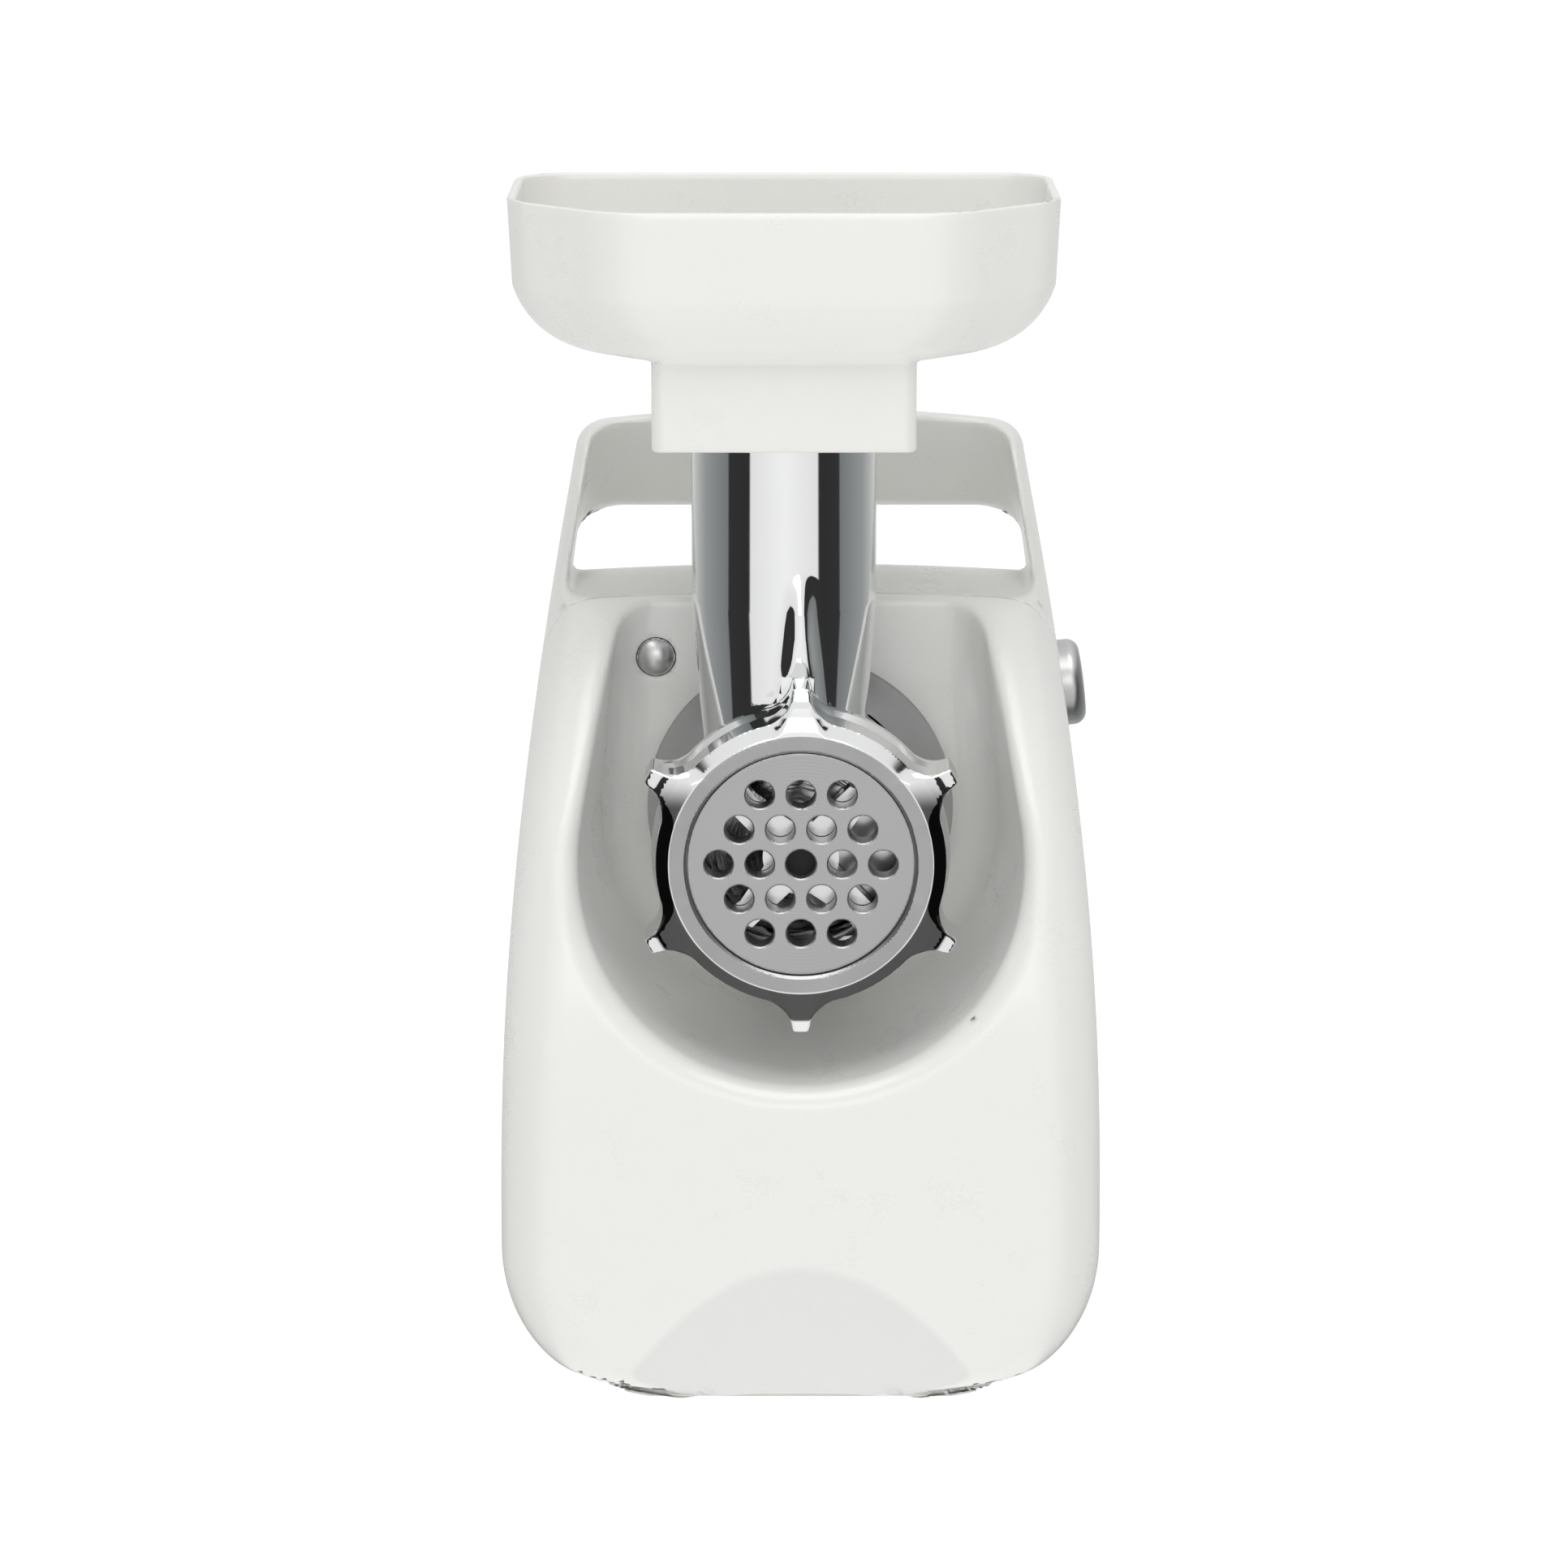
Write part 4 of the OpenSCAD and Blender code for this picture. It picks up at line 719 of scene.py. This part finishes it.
# Head: one aluminium casting, polished to a mirror outside, whose upright feed tube flows into the
# grinding barrel with a thin web in front, threaded at the mouth and lugged at the back.
mouth_y, barrel_back_y, mouth_r = -85.5, -19.0, 34.9
barrel_outline_y = [mouth_y, -72.5, -67.5, barrel_back_y]
barrel_outline_r = [mouth_r, mouth_r, 30.0, 30.0]
barrel_hollow_y = [-87.0, -82.0, -81.99, -75.6, -75.59, -25.1, -25.09, -10.0]
barrel_hollow_r = [31.15, 31.15, 25.7, 25.7, 26.5, 26.5, 12.8, 12.8]
thread_pitch, thread_front, thread_back = 3.5, -84.5, -73.5
lug_r, lug_y, lug_t = 34.5, -22.6, 4.0
tube_r, tube_foot_r, tube_full_z, throat_r = 23.3, 20.3, 203.0, 21.0
web_z = [187.0, 191.0, 197.0, 203.0, 210.0]
web_y = [-72.4, -73.8, -74.6, -74.2, -72.0]
web_top, web_low = 210.0, 165.0


def head_casting(x, y, z):
    up = z - axis_z
    around = np.hypot(x, up)
    round_way = np.arctan2(x, up) / (2 * math.pi)
    thread = np.abs((y / thread_pitch + round_way) % 1.0 - 0.5) * 2.0
    thread = np.where((y > thread_front) & (y < thread_back), thread * 1.1, 0.0)
    outline = np.interp(y, barrel_outline_y, barrel_outline_r)
    middle, half = (mouth_y + barrel_back_y) / 2, (barrel_back_y - mouth_y) / 2
    barrel = np.maximum((around - outline + thread) * 0.9, np.abs(y - middle) - half)
    lug = np.maximum(around - lug_r, np.abs(y - lug_y) - lug_t / 2)
    for turn in (0.0, 120.0, 240.0):
        a = math.radians(turn - 90.0)
        along = x * math.cos(a) - up * math.sin(a)
        across = x * math.sin(a) + up * math.cos(a)
        one = np.maximum(lug, np.maximum(np.abs(across) - 0.14 * np.abs(along), -along))
        barrel = blend_join(barrel, one, 0.8)
    from_tube = np.hypot(x - tube_x, y - tube_y)
    tube = (from_tube - np.interp(z, [163.0, tube_full_z], [tube_foot_r, tube_r])) * 0.997
    tube = np.maximum(np.maximum(tube, 160.0 - z), z - tube_top)
    body = blend_join(np.maximum(barrel, mouth_y - y), tube, 5.0)
    web_half = np.interp(z, [176.0, 190.0, web_top], [3.0, 2.1, 0.4])
    web_depth = np.maximum(np.interp(z, web_z, web_y) - y, y + 60.0)
    web = blend_cut(np.abs(x) - web_half, web_depth, 1.0)
    web = blend_cut(web, np.maximum(z - web_top, web_low - z), 1.0)
    body = blend_join(body, web, 4.5)
    # Room for the ring nut: nothing stands in front of the mouth's shoulder but the mouth and web
    body = np.maximum(body, -72.3 - y - 40.0 * (around < 35.0) - 3.0 * (z > 186.9))
    bore = around - np.interp(y, barrel_hollow_y, barrel_hollow_r)
    throat = from_tube - np.interp(z, [axis_z, tube_full_z], [17.0, throat_r])
    throat = np.maximum(throat, axis_z - z)
    body = np.maximum(body, -bore)
    body = blend_cut(body, -throat, 0.6)
    key = np.maximum(np.maximum(np.abs(x) - 2.2, np.abs(up + 32.0) - 2.0), y + 82.0)
    return np.maximum(body, -key)


head_low, head_high = (-mouth_r, mouth_y, axis_z - mouth_r), (mouth_r, barrel_back_y, tube_top)
head = mould("grinding_head", head_casting, head_low, head_high, 0.9)
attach(head, "head")
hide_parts("barrel")
mirror_light, mirror_dark = (0.88, 0.885, 0.89), (0.82, 0.83, 0.835)
mirror = metal("mirror_polished_alloy", mirror_dark, mirror_light, 0.02, 260.0, 0.0000015, wear=0.03)
head.data.materials.append(mirror)
# The socket ring is given a dark grey as painted shade, to match the shaded recess wall round it.
dress("socket_ring", metal("die_cast_alloy_painted_shade", (0.3, 0.3, 0.3), (0.4, 0.4, 0.4), 0.4, 1100.0, 0.00003))


# Cutting set: a perforated plate and a four-winged knife in hardened steel, the plate's face ground
# flat, and a cast feed screw that turns behind them, whose pin end is painted near black as the shade in the
# plate's middle hole.
hole_pitch, hole_r, pin_hole_r = 10.2, 3.5, 3.7
row_pitch = 8.8335  # hole_pitch * cos 30
plate_r, boss_r, plate_face_y = 31.0, 28.2, -88.8
plate_holes = []
for row in range(-2, 3):
    for i in range(5 - abs(row)):
        if row or i != 2:
            plate_holes.append(((i - (4 - abs(row)) / 2) * hole_pitch, axis_z + row * row_pitch))


def cutting_plate(x, y, z):
    around = np.hypot(x, z - axis_z)
    disc = blend_cut(around - plate_r, np.abs(y + 84.5) - 2.5, 0.3)
    boss = blend_cut(around - boss_r, np.maximum(plate_face_y - y, y + 84.0), 0.25)
    plate = np.minimum(disc, boss)
    key = np.maximum(np.maximum(np.abs(x) - 2.0, np.abs(z - 111.5) - 2.0), np.abs(y + 83.6) - 1.6)
    plate = np.minimum(plate, key)
    widened = np.maximum(0, 0.35 - (y - plate_face_y))
    hole = around - pin_hole_r
    for hx, hz in plate_holes:
        hole = np.minimum(hole, np.hypot(x - hx, z - hz) - hole_r)
    return np.maximum(plate, -(hole - widened))


plate_low, plate_high = (-plate_r, plate_face_y, 109.5), (plate_r, -82.0, axis_z + plate_r)
plate = mould("cutting_plate", cutting_plate, plate_low, plate_high, 0.5)
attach(plate, "plate")
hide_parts("grinding_plate")
face_dark, face_light = (0.4, 0.4, 0.405), (0.46, 0.46, 0.465)
ground_face = metal("ground_plate_steel", face_dark, face_light, 0.36, 1500.0, 0.000012, 0.0009)
plate.data.materials.append(ground_face)
cutter = metal("honed_cutter_steel", (0.66, 0.66, 0.67), (0.78, 0.78, 0.79), 0.14, 1500.0, 0.000008)
dress("knife", cutter)
screw_metal, start = finish("polished_cast_screw")
# The screw's pin end is painted near black as the shade in the plate's middle hole, and made rougher.
painted_shade_pin_end = (-0.0835 - place_of(start).split()[1]).clip(0.0, 0.0005)
stain, fine = grain(start, 35.0, 5.0), grain(start, 700.0, 2.0)
bright_cast = (stain * 0.8 + fine * 0.2).tint((0.6, 0.6, 0.61, 1), (0.76, 0.76, 0.77, 1))
cover(
    start,
    painted_shade_pin_end.tint(bright_cast, (0.03, 0.03, 0.03, 1)),
    0.2 + stain * 0.1 + painted_shade_pin_end * 0.25,
    (fine, 0.00002),
    metallic=1.0,
)
dress("auger", screw_metal)


# Ring nut: cast aluminium, turned satin on its face and polished on its rim, with painted shade on the
# bevel below its top arc, and six finger lugs that flow out of the rim. It screws on the head's mouth and
# holds the plate.
nut_face_y, nut_back_y, nut_reach = -90.0, -73.0, 44.0
face_edge_r = 32.5
rim_y = [nut_face_y, -88.2, -80.0, -76.0]
rim_r = [face_edge_r, 36.0, 36.4, 37.4]


def ring_nut_casting(x, y, z):
    up = z - axis_z
    around = np.hypot(x, up)
    nut = blend_cut((around - np.interp(y, rim_y, rim_r)) * 0.8, nut_face_y - y, 0.15)
    for k in range(6):
        a = math.radians(90.0 + 60.0 * k)
        along = x * math.cos(a) + up * math.sin(a)
        across = -x * math.sin(a) + up * math.cos(a)
        half = np.interp(along, [35.0, 38.5, nut_reach], [4.2, 3.0, 2.0])
        lug = blend_cut(np.abs(across) - half, np.maximum(along - nut_reach, 30.0 - along), 0.9)
        lug = blend_cut(lug, -88.6 + np.maximum(0, along - 37.0) * 0.3 - y, 0.7)
        nut = blend_join(nut, lug, 4.4)
    middle, half_depth = (nut_face_y + nut_back_y) / 2, (nut_back_y - nut_face_y) / 2
    nut = blend_cut(nut, np.maximum(np.abs(y - middle) - half_depth, around - nut_reach), 0.4)
    widened = np.maximum(0, 0.7 - (y - nut_face_y))
    bore = np.where(y < -87.0, 28.5 + widened, np.where(y < -86.0, 31.3, 35.1))
    return np.maximum(nut, bore - around)


nut_low = (-nut_reach, nut_face_y, axis_z - nut_reach)
nut_high = (nut_reach, nut_back_y, axis_z + nut_reach)
nut = mould("ring_nut_casting", ring_nut_casting, nut_low, nut_high, 0.65)
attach(nut, "nut")
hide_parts("ring_nut")
nut_finish, start = finish("turned_and_polished_alloy")
x, y, z = place_of(start).split()
upward = z - axis_z / 1000
radius = start.math("SQRT", x * x + upward * upward)
past_face = radius - (face_edge_r + 0.3) / 1000
satin = (0.0 - past_face).clip(0.0, 0.0003)
# The bevel, except for its top arc, is darkened as painted shade.
bevel_painted_shade = past_face.clip(0.0, 0.0003) * (-0.0874 - y).clip(0.0, 0.0004)
bevel_painted_shade = bevel_painted_shade * (0.022 - upward).clip(0.0, 0.008)
stain, fine = grain(start, 40.0, 5.0), grain(start, 1600.0, 2.0)
turned = start.math("SINE", radius * (2 * math.pi / 0.0006) + fine * 2.0)
face_tone = (satin * (0.75 + stain * 0.25)).tint((0.85, 0.855, 0.86, 1), (0.32, 0.32, 0.325, 1))
cover(
    start,
    bevel_painted_shade.tint(face_tone, (0.09, 0.09, 0.09, 1)),
    0.045 + satin * 0.3 + stain * 0.03,
    ((turned * 0.5 + fine * 0.5) * satin + fine * 0.04, 0.00001),
    metallic=1.0,
)
nut.data.materials.append(nut_finish)


# Tray: one deep moulding in the shells' plastic, with cut front corners, a rounded rim and a
# four-sided collar under it that drops over the feed tube.
tray_floor_z, tray_rim_z, tray_wall = 266.5, 304.5, 2.2
tray_half_w, tray_half_d, tray_y = 68.5, 44.0, -46.0
collar_low_z, collar_half_w, collar_half_d = 244.5, 32.5, 30.0
tuck_turn = np.radians(np.linspace(0.0, 72.0, 289))
tuck_z = tray_floor_z + (tray_rim_z - tray_floor_z) * 0.62 * (1 - np.cos(tuck_turn))
tuck_in = np.append(22.0 * (1 - np.sin(tuck_turn)), 0.0)
tray_heights = np.linspace(260.0, 310.0, 5001)
tray_tuck = np.interp(tray_heights, np.append(tuck_z, tray_rim_z), tuck_in)
tray_tuck = np.where(tray_heights > tray_rim_z, 0.0, tray_tuck)
tray_lean = 1 / np.sqrt(1 + np.gradient(tray_tuck, tray_heights) ** 2)


def tray_side(x, y, z):
    """The tray's wall all round: its front corners are cut and its foot tucks in."""
    tuck = np.interp(z, tray_heights, tray_tuck)
    half_w, half_d, cut = tray_half_w - tuck, tray_half_d - 0.55 * tuck, 26.0 - 0.35 * tuck
    aside, back_y = np.abs(x - tube_x), y - tray_y
    side, ahead, behind = aside - half_w, -back_y - half_d, back_y - half_d
    corner = (aside - back_y - (half_w + half_d - cut)) * 0.7071
    front = blend_cut(blend_cut(side, corner, 7.0), blend_cut(ahead, corner, 7.0), 1.0)
    back = blend_cut(side, behind, 14.0)
    return np.maximum(front, back) * np.interp(z, tray_heights, tray_lean)


def tray_moulding(x, y, z):
    over_floor = tray_floor_z + tray_wall - z
    outside = np.maximum(tray_side(x, y, z), tray_floor_z - z)
    low_inside = tray_side(x, y, np.maximum(z - tray_wall, 262.0)) + tray_wall
    high_inside = tray_side(x, y, z) + tray_wall
    inside = np.maximum(np.where(z > 290.0, high_inside, low_inside), over_floor)
    collar = blend_cut(np.abs(x - tube_x) - collar_half_w, np.abs(y - tube_y) - collar_half_d, 3.5)
    collar = blend_cut(collar, np.maximum(collar_low_z - z, z - tray_floor_z - 1.0), 0.8)
    solid = blend_join(outside, collar, 1.2)
    tray = blend_cut(solid, -inside, 0.9)
    tray = blend_cut(tray, z - tray_rim_z, 1.0)
    from_tube = np.hypot(x - tube_x, y - tube_y)
    tray = np.maximum(tray, -np.maximum(from_tube - tube_r - 0.3, z - tube_top - 0.5))
    return blend_cut(tray, -(from_tube - throat_r - 0.4), 0.5)


tray_low = (tube_x - tray_half_w, tray_y - tray_half_d, collar_low_z)
tray_high = (tube_x + tray_half_w, tray_y + tray_half_d, tray_rim_z)
tray = mould("food_tray", tray_moulding, tray_low, tray_high, 1.1)
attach(tray, "tray")
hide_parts("tray")
tray.data.materials.append(shell_paint)


# Return spring: steel wire wound in seven turns between the latch bar and the gearbox cover. It
# stands on the cover.
def wound_wire(name, low, high, wire, turns):
    """A closed tube of wire that winds along Y between two corners of a box, in metres."""
    middle = (low + high) / 2
    coil = (high[0] - low[0]) / 2 - wire
    steps, sides = 24 * turns + 1, 10
    turn = np.linspace(0.0, 2 * math.pi * turns, steps)[:, None]
    around = np.linspace(0.0, 2 * math.pi, sides, endpoint=False)[None, :]
    rest = np.clip(turn / (2 * math.pi) - 0.5, 0.0, turns - 1.0) / (turns - 1.0)
    x = middle[0] + (coil + wire * np.cos(around)) * np.cos(turn)
    y = low[1] + wire + rest * (high[1] - low[1] - 2 * wire) + wire * np.sin(around)
    z = middle[2] + (coil + wire * np.cos(around)) * np.sin(turn)
    at = np.arange(steps * sides).reshape(steps, sides)
    beside = np.roll(at, -1, 1)
    skin = np.stack([at[:-1], at[1:], beside[1:], beside[:-1]], axis=2).reshape(-1, 4)
    faces = skin.tolist() + [at[0].tolist(), at[-1][::-1].tolist()]
    mesh = bpy.data.meshes.new(name)
    mesh.from_pydata(np.stack([x, y, z], axis=2).reshape(-1, 3).tolist(), [], faces)
    mesh.validate()
    mesh.polygons.foreach_set("use_smooth", np.ones(len(mesh.polygons), bool))
    piece = bpy.data.objects.new(name, mesh)
    bpy.context.scene.collection.objects.link(piece)
    return piece


spring_low, spring_high = (np.array(corner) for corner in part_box("button_spring"))
spring_seat = (spring_low + spring_high) / 2
spring_seat[1] = spring_high[1]
spring_length = spring_high[1] - spring_low[1]
spring_keep = (spring_length - joints["lock_press"]["range_m"][1]) / spring_length
wire_r, spring_turns = 0.0004, 7
spring = wound_wire("return_spring", spring_low, spring_high, wire_r, spring_turns)
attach(spring, "housing")
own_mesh(spring)
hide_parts("button_spring")
spring.data.materials.append(zinc)


# Controls: a domed metal button that frees the head, and a plain satin knob with a rounded edge on
# a spindle through the side wall. Both are turned aluminium.
button_r, button_back_y = 4.9, -16.8


def button_body(x, y, z):
    across = np.hypot(x - button_x, z - button_z)
    dome = np.hypot(across, y + 20.1) - 6.5
    stem = np.maximum(across - button_r, np.maximum(-24.0 - y, y - button_back_y))
    dome = blend_cut(np.maximum(dome, y + 23.9), across - button_r, 0.6)
    button = np.minimum(stem, dome)
    return np.maximum(button, -np.maximum(across - 2.9, -21.5 - y))


button_low = (button_x - button_r, -26.6, button_z - button_r)
button_high = (button_x + button_r, button_back_y, button_z + button_r)
button = mould("release_button", button_body, button_low, button_high, 0.35)
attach(button, "lock")
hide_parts("lock_button")
satin_metal = metal("satin_silver", (0.5, 0.5, 0.5), (0.62, 0.62, 0.62), 0.28, 1800.0, 0.00001)
button.data.materials.append(satin_metal)


knob_r, knob_h, knob_dome, spindle_hole_r = 11.25, 6.0, 0.6, 3.02


def knob_body(x, y, z):
    out, along, up = along_knob(x, y, z)
    disc = np.hypot(along, up)
    crown = out - knob_h + knob_dome * (disc / knob_r) ** 2
    knob = np.maximum(blend_cut(disc - knob_r, crown, 3.0), -out)
    return np.maximum(knob, -np.maximum(disc - spindle_hole_r, out - knob_h + 1.0))


knob = mould("switch_grip", knob_body, (66.0, -15.3, 159.0), (76.5, 7.3, 183.0), 0.4)
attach(knob, "switch")
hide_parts("switch_knob")
knob.data.materials.append(satin_metal)
